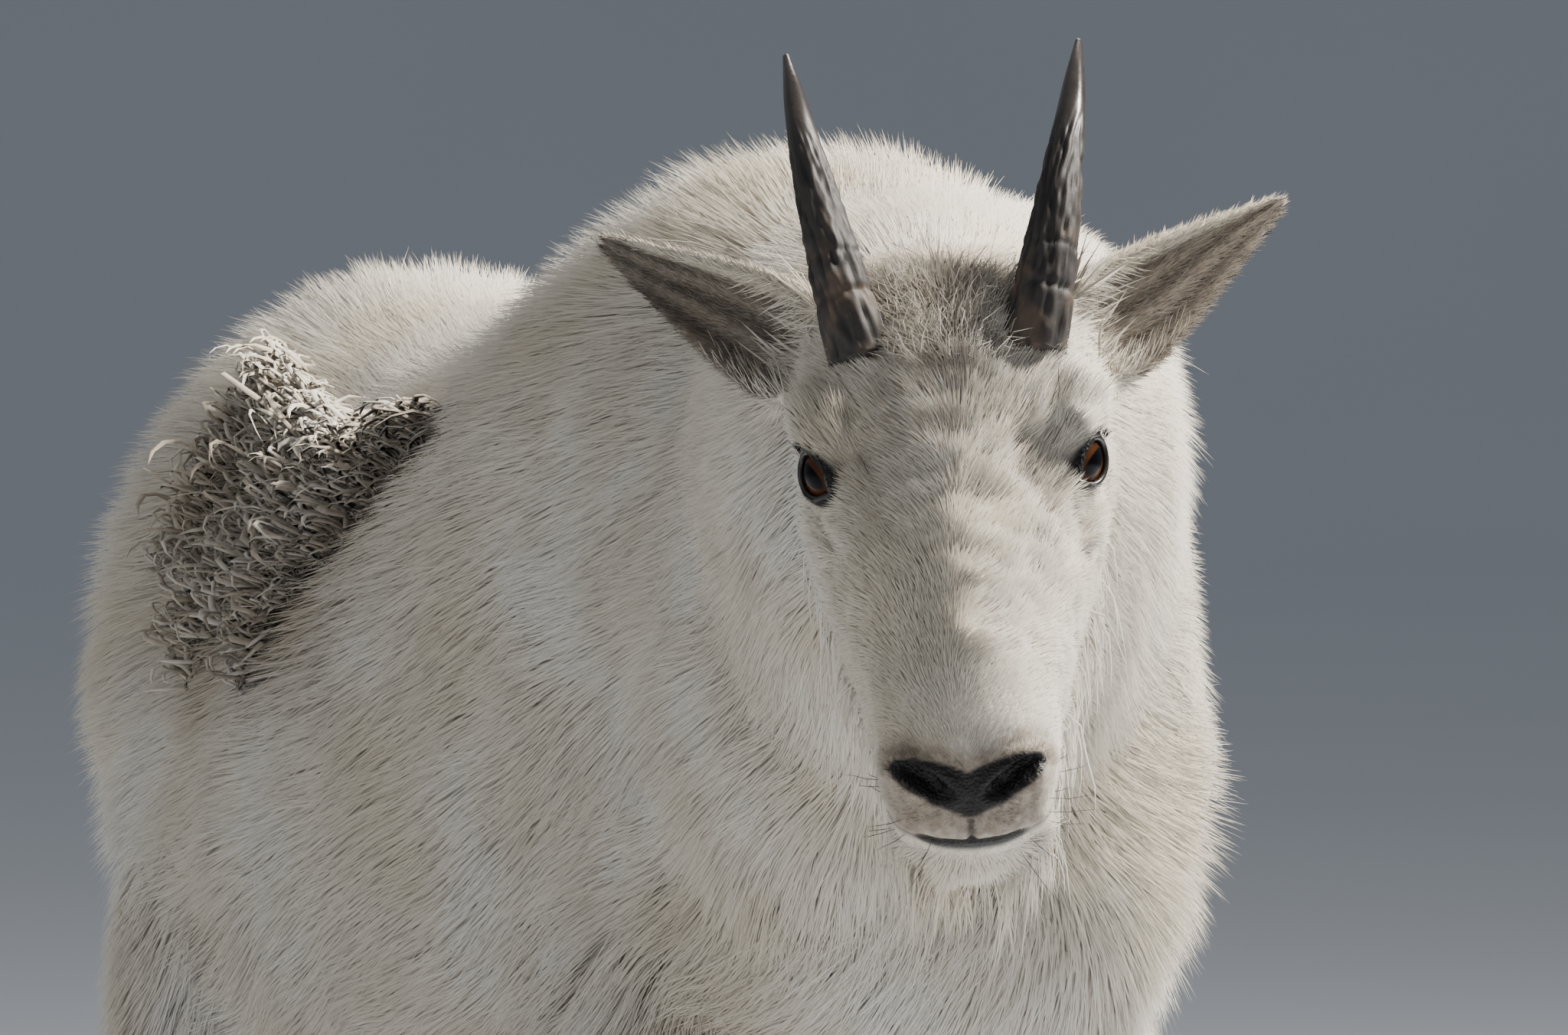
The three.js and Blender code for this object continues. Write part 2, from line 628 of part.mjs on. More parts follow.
function addMesh(group, name, solid, material) {
  const { vertProperties, triVerts } = largest(solid).getMesh();
  const geometry = new THREE.BufferGeometry();
  geometry.setAttribute("position", new THREE.BufferAttribute(vertProperties, 3));
  geometry.setIndex(new THREE.BufferAttribute(triVerts, 1));
  geometry.computeVertexNormals();
  const mesh = new THREE.Mesh(geometry, material);
  mesh.name = name;
  group.add(mesh);
}

const SIDES = [
  ["left", 1],
  ["right", -1],
];
const EAR_RAISE = { left: 4, right: 3 };

const toHead = headGroup.matrix.clone().invert();
const inHead = (point, grow) => isInside(HEAD, point.clone().applyMatrix4(toHead), grow);
const join = (solids) => Manifold.union(solids);

// The coats: where the rows of locks run on each form, and the size and lie of the locks.
const TORSO_COAT = {
  seed: 14,
  first: 0.03,
  last: 0.9,
  rows: 7,
  spacing: 142,
  fewest: 6,
  long: 165,
  thick: 13,
  sink: 9,
  lie: vec(0, 1, -0.9),
  skip: (point) => isInside(NECK, point, -14) || isInside(TAIL, point, 0),
};
const NECK_COAT = {
  seed: 23,
  first: 0.05,
  last: 0.86,
  rows: 4,
  spacing: 112,
  fewest: 6,
  long: 140,
  thick: 11,
  sink: 9,
  lie: vec(0.25, 0.8, -0.8),
  skip: (point) => inHead(point, 2) || isInside(TORSO, point, -26),
};
const CHAP_COAT = {
  seed: 37,
  first: 0.4,
  last: 0.84,
  rows: 2,
  spacing: 64,
  fewest: 6,
  long: 105,
  thick: 5,
  sink: 7,
  lie: vec(0, 0.12, -1),
  hangs: true,
  skip: (point) => isInside(TORSO, point, -14),
};
const TAIL_COAT = {
  seed: 41,
  first: 0.3,
  last: 0.7,
  rows: 2,
  spacing: 40,
  fewest: 4,
  long: 66,
  thick: 3,
  sink: 4,
  lie: vec(0, 0.2, -1),
  hangs: true,
  skip: () => false,
};

// The tuft of loose old wool on her right flank: rounded clumps, with ragged locks that hang
// below them.
const WOOL = { seed: 67, front: -55, back: 145, low: 160, high: 128, clumps: 8, radius: 32, locks: 4 };
const WOOL_COAT = { long: 78, thick: 9, sink: 9, raise: 14, lie: vec(0, 0.15, -1) };
function woolSolids() {
  const random = randomFrom(WOOL.seed);
  const spotAt = (along, high) => {
    const place = THREE.MathUtils.lerp(WOOL.front, WOOL.back, along);
    let t = 0;
    while (axesAt(TORSO, t).middle.y < place) t += 0.005;
    return { t, angle: THREE.MathUtils.degToRad(THREE.MathUtils.lerp(WOOL.low, WOOL.high, high)) };
  };
  const clumps = Array.from({ length: WOOL.clumps }, (_, k) => {
    const column = Math.floor(k / 2) + 0.5 * (k % 2);
    const spot = spotAt(column / (WOOL.clumps / 2 - 0.5), (k % 2) * 0.6 + 0.4 * random());
    const radius = WOOL.radius * (0.85 + 0.35 * random());
    return ballSolid(pointOn(TORSO, spot.t, spot.angle, -0.45 * radius - 6), radius, 1, [0.95, 1.1, 0.95]);
  });
  const locks = Array.from({ length: WOOL.locks }, (_, k) => {
    const spot = { ...spotAt((k + 0.5) / WOOL.locks, 0.12 * random()), width: 44, sway: 0.5 * (random() - 0.5) };
    return coatLock(TORSO, WOOL_COAT, { ...spot, long: WOOL_COAT.long * (0.7 + 0.5 * random()) }, 0);
  });
  return [...clumps, ...locks];
}

// The beard, in the head's frame: rows of locks under the chin and the throat that hang down in
// the pose of the head. Each row is the distance from the back of the skull, the number of
// locks, the length and the width.
const BEARD_ROWS = {
  lower_jaw: [
    [262, 2, 50, 22],
    [238, 3, 66, 26],
  ],
  head: [
    [186, 3, 74, 34],
    [150, 3, 66, 36],
    [112, 3, 58, 38],
  ],
};
const DOWN = vec(0, 0, -1).transformDirection(toHead);
function beardSolids(rows, grow = 0) {
  const random = randomFrom(53);
  const away = vec(0, -1, 0.4).projectOnPlane(DOWN).normalize();
  return rows.flatMap(([s, count, long, width], row) =>
    Array.from({ length: count }, (_, k) => {
      const t = HEAD_SHAPE.findIndex(([place]) => place >= s) / (HEAD_SHAPE.length - 1);
      const angle = -Math.PI / 2 + ((k - (count - 1) / 2) * 0.62 + 0.2 * ((row % 2) - 0.5)) * (3 / count) ** 0.5;
      const { here, out } = surfaceAt(HEAD, t, angle, 0);
      const reach = long * (0.85 + 0.3 * random());
      const sway = vec(0.16 * (random() - 0.5), 0.25, 0);
      const hangAt = (share) => DOWN.clone().addScaledVector(sway, share);
      const middleAt = (lift, share) => {
        return here.clone().addScaledVector(out, lift).addScaledVector(hangAt(share), share * reach);
      };
      const rings = [
        [-11, 0, 0.8],
        [3, 0.3, 1],
        [5, 0.68, 0.7],
      ].map(([lift, share, size]) => {
        const middle = middleAt(lift, share);
        const across = new THREE.Vector3().crossVectors(away, hangAt(share)).normalize();
        const half = (size * width) / 2;
        return [
          middle.clone().addScaledVector(across, half).addScaledVector(away, -2),
          middle.clone().addScaledVector(away, 7 * size),
          middle.clone().addScaledVector(across, -half).addScaledVector(away, -2),
        ];
      });
      return lockSolid(rings, middleAt(-14, -0.03), middleAt(2, 1), 2 * grow);
    }),
  );
}

const jawLocks = (grow) => beardSolids(BEARD_ROWS.lower_jaw, grow);
const jawShape = (grow) => formSolid(HEAD, -1.2 + grow).intersect(jawRegion(grow));
addMesh(headGroup, "lower_jaw", join([jawShape(0), ...jawLocks(0)]), FACE_WHITE);
let headSolid = formSolid(HEAD).subtract(jawRegion(GAP));
let headGrown = join([formSolid(HEAD, GAP), ...beardSolids(BEARD_ROWS.head, GAP), ...jawLocks(GAP)]);
headSolid = join([headSolid, ...beardSolids(BEARD_ROWS.head)]).subtract(join([jawShape(GAP), ...jawLocks(GAP)]));
for (const [name, side] of SIDES) {
  const place = eyePlace(side);
  const horn = formSolid(hornForm(side));
  const ear = earSolid(side, EAR_RAISE[name]);
  const earRoom = earSolid(side, EAR_RAISE[name], GAP);
  headSolid = headSolid
    .add(ballSolid(place, EYE_RADIUS + LID_THICK, 3))
    .subtract(eyeOpening(side))
    .subtract(ballSolid(place, EYE_RADIUS + GAP, 3))
    .subtract(nostrilSolid(side))
    .subtract(formSolid(hornForm(side), GAP))
    .subtract(earRoom);
  headGrown = headGrown.add(earRoom);
  addMesh(headGroup, `eye_${name}`, ballSolid(place, EYE_RADIUS, 3), EYE_BROWN);
  addMesh(headGroup, `horn_${name}`, horn, HORN_BLACK);
  addMesh(headGroup, `ear_${name}`, ear, EAR_BUFF);
}
addMesh(headGroup, "head", headSolid, FACE_WHITE);

const neckShape = (grow) => join([formSolid(NECK, grow), ...coatSolids(NECK, NECK_COAT, grow)]);
const tailShape = (grow) => join([formSolid(TAIL, grow), ...coatSolids(TAIL, TAIL_COAT, grow)]);
const torsoShape = (grow) => join([formSolid(TORSO, grow), ...coatSolids(TORSO, TORSO_COAT, grow)]);
addMesh(root, "neck", neckShape(0).subtract(inBody(headGrown)), COAT_WHITE);
addMesh(root, "tail", tailShape(0), COAT_WHITE);
const [neckGrown, tailGrown] = [neckShape(GAP), tailShape(GAP)];
const torsoSolid = join([torsoShape(0), ...woolSolids()]).subtract(neckGrown).subtract(tailGrown);
addMesh(root, "torso", torsoSolid, COAT_WHITE);

const bodyGrown = join([torsoShape(GAP), neckGrown]);
const LEGS = [
  ["front", foreUpperForm, foreLowerForm, -249],
  ["hind", hindUpperForm, hindLowerForm, 293],
];
for (const [end, upperForm, lowerForm, footPlace] of LEGS)
  for (const [name, side] of SIDES) {
    const upper = upperForm(side);
    const upperShape = (grow) => join([formSolid(upper, grow), ...coatSolids(upper, CHAP_COAT, grow)]);
    addMesh(root, `${end}_leg_upper_${name}`, upperShape(0).subtract(bodyGrown), COAT_WHITE);
    const footMiddle = lowerForm(side).rows[0][0];
    let lower = formSolid(lowerForm(side)).subtract(upperShape(GAP));
    for (const [toe, away] of [
      ["outer", side],
      ["inner", -side],
    ]) {
      addMesh(root, `hoof_${end}_${name}_${toe}`, toeSolid(footMiddle, footPlace, away), HOOF_BLACK);
      lower = lower.subtract(toeSolid(footMiddle, footPlace, away, GAP));
    }
    addMesh(root, `${end}_leg_lower_${name}`, lower, FACE_WHITE);
  }

const bounds = new THREE.Box3().setFromObject(root, true);
const middle = bounds.getCenter(vec(0, 0, 0));
root.position.set(-middle.x, -middle.y, -bounds.min.z);

export default root;
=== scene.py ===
# The looks of a mountain goat: one skin with its fur as solid tufts, and her horns, eyes and
# hooves. The forms repeat the solids' own sizes in millimetres, in the maker's frame: +Z is up,
# she faces -Y and her left side is at +X. Meshes are made in metres, where the CAD parts are.
import math

import bpy
import numpy as np
from mathutils import Euler, Matrix, Vector


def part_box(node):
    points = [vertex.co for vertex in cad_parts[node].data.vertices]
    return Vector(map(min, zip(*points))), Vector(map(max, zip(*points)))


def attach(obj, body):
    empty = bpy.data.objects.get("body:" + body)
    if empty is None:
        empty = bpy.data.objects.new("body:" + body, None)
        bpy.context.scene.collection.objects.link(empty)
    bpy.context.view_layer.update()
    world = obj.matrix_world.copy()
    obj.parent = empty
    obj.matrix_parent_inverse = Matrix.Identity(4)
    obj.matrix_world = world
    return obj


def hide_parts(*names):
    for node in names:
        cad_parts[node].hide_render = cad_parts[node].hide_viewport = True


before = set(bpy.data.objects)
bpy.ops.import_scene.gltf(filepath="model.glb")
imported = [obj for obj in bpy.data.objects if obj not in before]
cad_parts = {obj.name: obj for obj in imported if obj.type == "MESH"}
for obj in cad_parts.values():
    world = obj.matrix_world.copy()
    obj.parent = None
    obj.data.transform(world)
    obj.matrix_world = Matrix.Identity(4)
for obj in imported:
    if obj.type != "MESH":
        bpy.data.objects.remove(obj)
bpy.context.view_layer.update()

# Driving sizes, as in the solids.
HUMP_HEIGHT = 860
BODY_LENGTH = 840
BODY_WIDTH = 362
HORN_LENGTH = 144
HORN_BASE = 28
HORN_PLACE = (35.0, -84.0, 44.0)  # in the head's frame, for the left horn
EAR_LENGTH = 122
EAR_WIDTH = 52
EAR_PLACE = (52.0, -50.0, 15.0)  # in the head's frame, for the left ear
EYE_RADIUS = 15.5
EYE_PLACE = (46.0, -124.0, 17.0)  # in the head's frame, for the left eye
LID_WIDTH, LID_HEIGHT = 0.78, 0.58  # of the eye's radius
LEG_SPREAD = 92
KNEE_HEIGHT = 0.29 * HUMP_HEIGHT
HOCK_HEIGHT = 0.33 * HUMP_HEIGHT
HOOF_HEIGHT = 44
HOOF_LENGTH = 64
TOE_WIDTH = 24
BODY_VOXEL = 0.006
HEAD_VOXEL = 0.0015
SIDES = {"left": 1, "right": -1}

HEAD_POSE = Matrix.Translation((-100, -516, 787)) @ Euler(
    (math.radians(41), math.radians(-3), math.radians(-26)), "XYZ"
).to_matrix().to_4x4()
HEAD_TURN = np.array(HEAD_POSE.to_3x3())
SKULL_PLACE = np.array(HEAD_POSE.translation)
DOWN = np.array([0.0, 0.0, -1.0])


def to_body(points):
    return points @ HEAD_TURN.T + SKULL_PLACE


def to_head(points):
    return (points - SKULL_PLACE) @ HEAD_TURN


def eye_place(side):
    return np.array(EYE_PLACE) * [side, 1, 1]


def to_nearer_eye(head):
    """How far each place of the head's frame is from the middle of the nearer eye."""
    return np.min([np.linalg.norm(head - eye_place(side), axis=1) for side in (1, -1)], axis=0)


eye_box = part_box("eye_left")
SHIFT = np.array((eye_box[0] + eye_box[1]) / 2) - to_body(eye_place(1)) / 1000


def in_scene(points):
    return np.asarray(points) / 1000 + SHIFT


# The photograph's view.
CAMERA_PLACE = (-2152.0, -4756.0, 830.0)
CAMERA_DIP, CAMERA_TURN, LENS = 1.65, -25, 257
camera = bpy.data.objects.new("camera", bpy.data.cameras.new("camera"))
bpy.context.collection.objects.link(camera)
VIEW_RIGHT = np.array([0.9063, -0.4226, 0.0])
VIEW_AHEAD = np.array([0.4226, 0.9063, 0.0])
camera.location = in_scene(np.array(CAMERA_PLACE))
tilt, heading = math.radians(90 - CAMERA_DIP), math.radians(CAMERA_TURN)
camera.rotation_euler = Euler((tilt, 0, heading), "XYZ")
camera.data.sensor_width = 36
camera.data.lens = LENS
camera.data.clip_end = 60
bpy.context.scene.camera = camera


def unit(vectors):
    return vectors / np.maximum(np.linalg.norm(vectors, axis=-1, keepdims=True), 1e-9)


def smooth(values, low, high):
    share = np.clip((values - low) / (high - low), 0, 1)
    return share * share * (3 - 2 * share)


def band(values, rise, top, edge, foot):
    """From 0 at rise to 1 at top, and from 1 at edge back to 0 at foot."""
    return smooth(values, rise, top) * (1 - smooth(values, edge, foot))


def hill(*offsets):
    """A bell that is 1 where every offset is 0, and nearly 0 where one is past 2."""
    return np.exp(-sum(offset**2 for offset in offsets))


def round_angles(count):
    return np.linspace(0, 2 * np.pi, count, endpoint=False)


def ripple(points, size, seed, waves=9):
    """A soft wandering value from about -1 to 1, with bumps about size across."""
    draw = np.random.default_rng(seed)
    ways = unit(draw.normal(size=(waves, 3))) * 2 * np.pi / size
    ways = ways * draw.uniform(0.6, 1.5, (waves, 1))
    phases = draw.uniform(0, 2 * np.pi, waves)
    return np.sin(points @ ways.T + phases).sum(-1) / np.sqrt(waves)


def row_at(rows, share):
    """The row of numbers at each share of a list of rows, on a smooth curve through them."""
    rows = np.asarray(rows, float)
    last = len(rows) - 1
    at = np.clip(share, 0, 1) * last
    first = np.minimum(np.floor(at).astype(int), last - 1)
    f = (at - first)[..., None]
    a, b, c, d = (rows[np.clip(first + k, 0, last)] for k in (-1, 0, 1, 2))
    curve = (2 * a - 5 * b + 4 * c - d) * f**2 + (3 * b - a - 3 * c + d) * f**3
    return 0.5 * (2 * b + (c - a) * f + curve)


class Form:
    """A body part as sections along a line. Each row holds the middle, the half width, the reach
    above and below, how far it narrows upwards, and how square it is. The depth is how far its
    skin lies below the tips of its coat, at its start and its end."""

    def __init__(self, rows, up, facing=None, depth=(0, 0)):
        self.rows = np.asarray(rows, float)
        self.up = np.array(up, float)
        self.facing = None if facing is None else np.array(facing, float)
        self.depth = depth

    def axes(self, share):
        here = row_at(self.rows, share)
        if self.facing is None:
            after, before = (row_at(self.rows, share + step)[..., :3] for step in (0.01, -0.01))
            along = unit(after - before)
        else:
            along = np.broadcast_to(self.facing, here[..., :3].shape)
        left = unit(np.cross(along, self.up))
        return here, along, left, np.cross(left, along)

    def skin_depth(self, share):
        return self.depth[0] + (self.depth[1] - self.depth[0]) * share

    def point(self, share, angle, grow=0.0):
        here, _, left, up = self.axes(share)
        bend = 2 / here[..., 7]
        cosine, sine = np.cos(angle), np.sin(angle)
        across = np.sign(cosine) * np.abs(cosine) ** bend
        high = np.sign(sine) * np.abs(sine) ** bend
        wide = np.maximum(here[..., 3] + grow, 1) * (1 - here[..., 6] * sine)
        tall = np.maximum(np.where(high > 0, here[..., 4], here[..., 5]) + grow, 1)
        return here[..., :3] + (across * wide)[..., None] * left + (high * tall)[..., None] * up

    def surface(self, rings, sides, cap=0.2):
        """The closed skin of the form, as points and faces."""
        share = np.linspace(0, 1, rings)[:, None]
        angle = round_angles(sides)[None]
        points = self.point(share, angle, -self.skin_depth(share))
        here, along, _, _ = self.axes(np.array([0.0, 1.0]))
        reach = np.maximum(here[:, 3] - self.depth, 1) * cap
        tips = here[:, :3] + along * (reach * [-1, 1])[:, None]
        return closed(points, tips[0], tips[1])

    def locate(self, points):
        """The share along, the angle round, and how far out each point is, 1 on the skin."""
        share = np.linspace(0, 1, 241)
        middles = self.axes(share)[0][:, :3]
        if self.facing is None:
            away = ((points[:, None] - middles[None, ::3]) ** 2).sum(-1)
            at = share[::3][away.argmin(1)]
        else:
            at = np.interp(points @ self.facing, middles @ self.facing, share)
        here, _, left, up = self.axes(at)
        off = points - here[:, :3]
        depth = self.skin_depth(at)
        high = (off * up).sum(-1)
        high = high / np.maximum(np.where(high > 0, here[:, 4], here[:, 5]) - depth, 1)
        wide = np.maximum(here[:, 3] - depth, 1) * (1 - here[:, 6] * np.clip(high, -1, 1))
        across = (off * left).sum(-1) / wide
        out = (np.abs(across) ** here[:, 7] + np.abs(high) ** here[:, 7]) ** (1 / here[:, 7])
        past = np.abs(((points - here[:, :3]) * self.axes(at)[1]).sum(-1)) / 60
        return at, np.arctan2(high, across), out + past


def closed(points, first, last):
    """The closed surface over a grid of rings, each end drawn in to a point."""
    rings, sides = points.shape[:2]
    corner = np.arange(rings * sides).reshape(rings, sides)
    after = np.roll(corner, -1, axis=1)
    quads = np.stack([corner[:-1], after[:-1], after[1:], corner[1:]], -1).reshape(-1, 4)
    start, end = rings * sides, rings * sides + 1
    first_fan = np.stack([np.full(sides, start), after[0], corner[0]], -1)
    last_fan = np.stack([np.full(sides, end), corner[-1], after[-1]], -1)
    fans = np.vstack([first_fan, last_fan])
    return np.vstack([points.reshape(-1, 3), first, last]), [quads, fans]


POLE = np.array([0, 0, 1.0])


def sphere_grid(rings, sides):
    """Places on a ball of radius 1 between its poles, and how far down each ring is."""
    fall = np.linspace(0, np.pi, rings + 2)[1:-1, None]
    angle = round_angles(sides)[None]
    level = np.sin(fall)
    grid = [level * np.cos(angle), level * np.sin(angle), np.cos(fall) + 0 * angle]
    return np.stack(grid, -1), fall


def ball(middle, radii, rings=24, sides=36):
    """A closed ellipsoid."""
    points, faces = closed(sphere_grid(rings, sides)[0], POLE, -POLE)
    return points * radii + middle, faces


def joined(*surfaces):
    """Several surfaces as one list of points and faces."""
    points = np.vstack([surface[0] for surface in surfaces])
    starts = np.cumsum([0] + [len(surface[0]) for surface in surfaces])
    faces = [part + start for surface, start in zip(surfaces, starts) for part in surface[1]]
    return points, faces


def piece(name, points, faces, material=None):
    """A mesh object from points in millimetres and arrays of faces of three or four corners."""
    mesh = bpy.data.meshes.new(name)
    corners = np.concatenate([part.ravel() for part in faces]).astype(np.int32)
    sizes = np.concatenate([np.full(len(part), part.shape[1]) for part in faces])
    starts = np.concatenate([[0], np.cumsum(sizes)[:-1]]).astype(np.int32)
    mesh.vertices.add(len(points))
    mesh.vertices.foreach_set("co", in_scene(points).astype(np.float32).ravel())
    mesh.loops.add(len(corners))
    mesh.loops.foreach_set("vertex_index", corners)
    mesh.polygons.add(len(sizes))
    mesh.polygons.foreach_set("loop_start", starts)
    mesh.update(calc_edges=True)
    mesh.polygons.foreach_set("use_smooth", np.ones(len(sizes), bool))
    made = bpy.data.objects.new(name, mesh)
    bpy.context.collection.objects.link(made)
    if material:
        mesh.materials.append(material)
    return made


def applied(made):
    """The object with its modifiers worked into its mesh."""
    bpy.context.view_layer.update()
    graph = bpy.context.evaluated_depsgraph_get()
    mesh = bpy.data.meshes.new_from_object(made.evaluated_get(graph))
    made.modifiers.clear()
    made.data = mesh
    return made


def remeshed(made, voxel, rounds):
    grid = made.modifiers.new("one skin", "REMESH")
    grid.mode = "VOXEL"
    grid.voxel_size = voxel
    grid.use_smooth_shade = True
    soften = made.modifiers.new("soften", "SMOOTH")
    soften.factor = 0.5
    soften.iterations = rounds
    return applied(made)


def combined(made, other, operation):
    cut = made.modifiers.new("cut", "BOOLEAN")
    cut.operation = operation
    cut.solver = "MANIFOLD"
    cut.object = other
    applied(made)
    bpy.data.objects.remove(other)
    return made


def points_of(made, kind="co"):
    values = np.zeros(len(made.data.vertices) * 3, np.float32)
    made.data.vertices.foreach_get(kind, values)
    values = values.reshape(-1, 3).astype(float)
    return (values - SHIFT) * 1000 if kind == "co" else values


def move_points(made, points):
    made.data.vertices.foreach_set("co", in_scene(points).astype(np.float32).ravel())
    made.data.update()


def relaxed(made, weight, rounds):
    """Each point drawn towards the middle of its neighbours, as far as its weight says."""
    edges = np.zeros(len(made.data.edges) * 2, np.int32)
    made.data.edges.foreach_get("vertices", edges)
    a, b = edges.reshape(-1, 2).T
    points = points_of(made)
    count = np.bincount(np.concatenate([a, b]), minlength=len(points))[:, None]
    for _ in range(rounds):
        total = np.zeros_like(points)
        for k in range(3):
            for here, there in ((a, b), (b, a)):
                total[:, k] += np.bincount(here, points[there, k], len(points))
        points += (total / np.maximum(count, 1) - points) * weight[:, None]
    move_points(made, points)


# The forms of the body, out to the tips of the coat.
TORSO_SHAPE = [
    [0.0, 0.7, 0.56, 0.3, 0.0, 2.1],
    [0.05, 0.8, 0.49, 0.54, -0.12, 2.1],
    [0.13, 0.935, 0.435, 0.69, -0.22, 2.3],
    [0.25, 1.0, 0.405, 0.765, -0.2, 2.4],
    [0.36, 0.98, 0.395, 0.85, -0.1, 2.4],
    [0.49, 0.935, 0.395, 0.95, 0.02, 2.2],
    [0.62, 0.91, 0.405, 0.99, 0.1, 2.1],
    [0.74, 0.92, 0.43, 0.96, 0.13, 2.1],
    [0.84, 0.93, 0.47, 0.93, 0.15, 2.1],
    [0.92, 0.905, 0.52, 0.82, 0.1, 2.1],
    [0.97, 0.85, 0.59, 0.6, 0.0, 2.1],
    [1.0, 0.79, 0.65, 0.3, 0.0, 2.1],
]


def torso_row(share, top, bottom, width, narrowing, square):
    middle, tall = (top + bottom) / 2 * HUMP_HEIGHT, (top - bottom) / 2 * HUMP_HEIGHT
    wide = width * BODY_WIDTH / 2
    return [0, (share - 0.5) * BODY_LENGTH, middle, wide, tall, tall, narrowing, square]


TORSO = Form([torso_row(*row) for row in TORSO_SHAPE], (0, 0, 1), (0, 1, 0), (22, 22))
NECK = Form(
    [
        [-104, -528, 756, 62, 66, 76, 0, 2],
        [-84, -470, 728, 92, 106, 112, -0.05, 2.1],
        [-44, -392, 692, 110, 152, 142, -0.15, 2.2],
        [-6, -300, 656, 113, 186, 180, -0.22, 2.4],
        [6, -215, 626, 116, 198, 196, -0.2, 2.4],
    ],
    (0, 0, 1),
    None,
    (15, 22),
)
TAIL = Form(
    [
        [0, 372, 742, 20, 20, 20, 0, 2],
        [0, 404, 734, 24, 20, 20, 0, 2],
        [0, 430, 700, 27, 20, 20, 0, 2],
        [0, 440, 655, 20, 15, 15, 0, 2],
        [0, 443, 618, 6, 5, 5, 0, 2],
    ],
    (0, 1, 0),
    None,
    (9, 3),
)
HEAD_SHAPE = [
    [0, -8, 40, 30, 40, 0.0, 2],
    [22, -6, 53, 44, 66, 0.04, 2.2],
    [55, -2, 61, 58, 90, 0.04, 2.5],
    [90, 2, 63, 53, 100, 0.02, 2.7],
    [122, 4, 61, 43, 96, 0.0, 2.8],
    [152, 0, 53, 37, 86, 0.06, 2.8],
    [182, -6, 46, 35, 74, 0.1, 2.8],
    [212, -14, 40, 34, 63, 0.1, 2.6],
    [240, -22, 37.5, 34, 56, 0.08, 2.5],
    [262, -28, 36, 31, 54, 0.1, 2.4],
    [276, -32, 30, 24, 44, 0.1, 2.2],
    [285, -36, 17, 11, 20, 0.0, 2],
]
HEAD = Form([[0, -row[0], *row[1:]] for row in HEAD_SHAPE], (0, 0, 1), (0, -1, 0), (2, 2))


def leg_forms(side):
    """The thighs and shanks of one side: fore upper, fore lower, hind upper, hind lower."""
    fore, hind = side * LEG_SPREAD, side * (LEG_SPREAD + 6)
    rows = [
        [
            [fore - side * 24, -224, 570, 38, 76, 84, 0, 2],
            [fore - side * 14, -220, 500, 52, 88, 90, 0, 2],
            [fore - side * 4, -218, 420, 62, 84, 84, 0, 2],
            [fore, -220, 352, 62, 70, 70, 0, 2],
            [fore, -222, 295, 54, 58, 58, 0, 2],
            [fore, -224, KNEE_HEIGHT + 12, 43, 47, 47, 0, 2],
        ],
        [
            [fore, -223, KNEE_HEIGHT + 40, 24, 27, 27, 0, 2],
            [fore, -226, KNEE_HEIGHT, 26, 30, 26, 0, 2.2],
            [fore, -224, KNEE_HEIGHT - 40, 20, 21, 22, 0, 2.1],
            [fore, -222, 160, 17.5, 18, 20, 0, 2.1],
            [fore, -223, 112, 19, 20, 22, 0, 2.1],
            [fore, -225, 86, 24, 24, 27, 0, 2.1],
            [fore, -232, 62, 21.5, 22, 23, 0, 2.1],
            [fore, -240, 38, 25, 27, 27, 0, 2.2],
            [fore, -242, 30, 24.5, 27, 26, 0, 2.2],
        ],
        [
            [hind, 240, 560, 66, 104, 100, 0, 2],
            [hind + side * 4, 236, 480, 78, 112, 112, 0, 2],
            [hind + side * 2, 252, 408, 74, 92, 92, 0, 2],
            [hind, 286, 346, 58, 66, 64, 0, 2],
            [hind, 312, HOCK_HEIGHT + 14, 48, 52, 50, 0, 2],
            [hind, 324, HOCK_HEIGHT - 12, 40, 44, 43, 0, 2],
        ],
        [
            [hind, 306, HOCK_HEIGHT + 34, 22, 26, 26, 0, 2],
            [hind, 326, HOCK_HEIGHT - 4, 25, 30, 30, 0, 2.1],
            [hind, 332, HOCK_HEIGHT - 42, 21, 25, 24, 0, 2.1],
            [hind, 328, 175, 18, 20, 20, 0, 2.1],
            [hind, 323, 118, 18.5, 20, 21, 0, 2.1],
            [hind, 319, 88, 23.5, 24, 26, 0, 2.1],
            [hind, 311, 62, 21, 22, 23, 0, 2.1],
            [hind, 302, 38, 25, 27, 27, 0, 2.2],
            [hind, 300, 30, 24.5, 27, 26, 0, 2.2],
        ],
    ]
    depths = [(20, 16), (4, 3), (20, 15), (4, 3)]
    return [Form(rows, (0, -1, 0), (0, 0, -1), depth) for rows, depth in zip(rows, depths)]


LEGS = {name: leg_forms(side) for name, side in SIDES.items()}

EAR_SHAPE = [
    [0.0, 0.92, 0.5, 128],
    [0.12, 0.98, 0.5, 108],
    [0.3, 0.88, 0.46, 94],
    [0.5, 0.69, 0.37, 84],
    [0.7, 0.47, 0.27, 78],
    [0.86, 0.29, 0.18, 74],
    [0.96, 0.15, 0.11, 74],
]
EAR_RAISE = {"left": 4, "right": 3}


def ear_axes(name):
    side = SIDES[name]
    root = np.array(EAR_PLACE) * [side, 1, 1]
    along = unit(np.array([side * 0.77, 0.62, math.sin(math.radians(EAR_RAISE[name]))]))
    opening = np.array([side * 0.1, -0.8, 0.5])
    opening = unit(opening - along * (opening @ along))
    return root, along, opening, np.cross(opening, along)


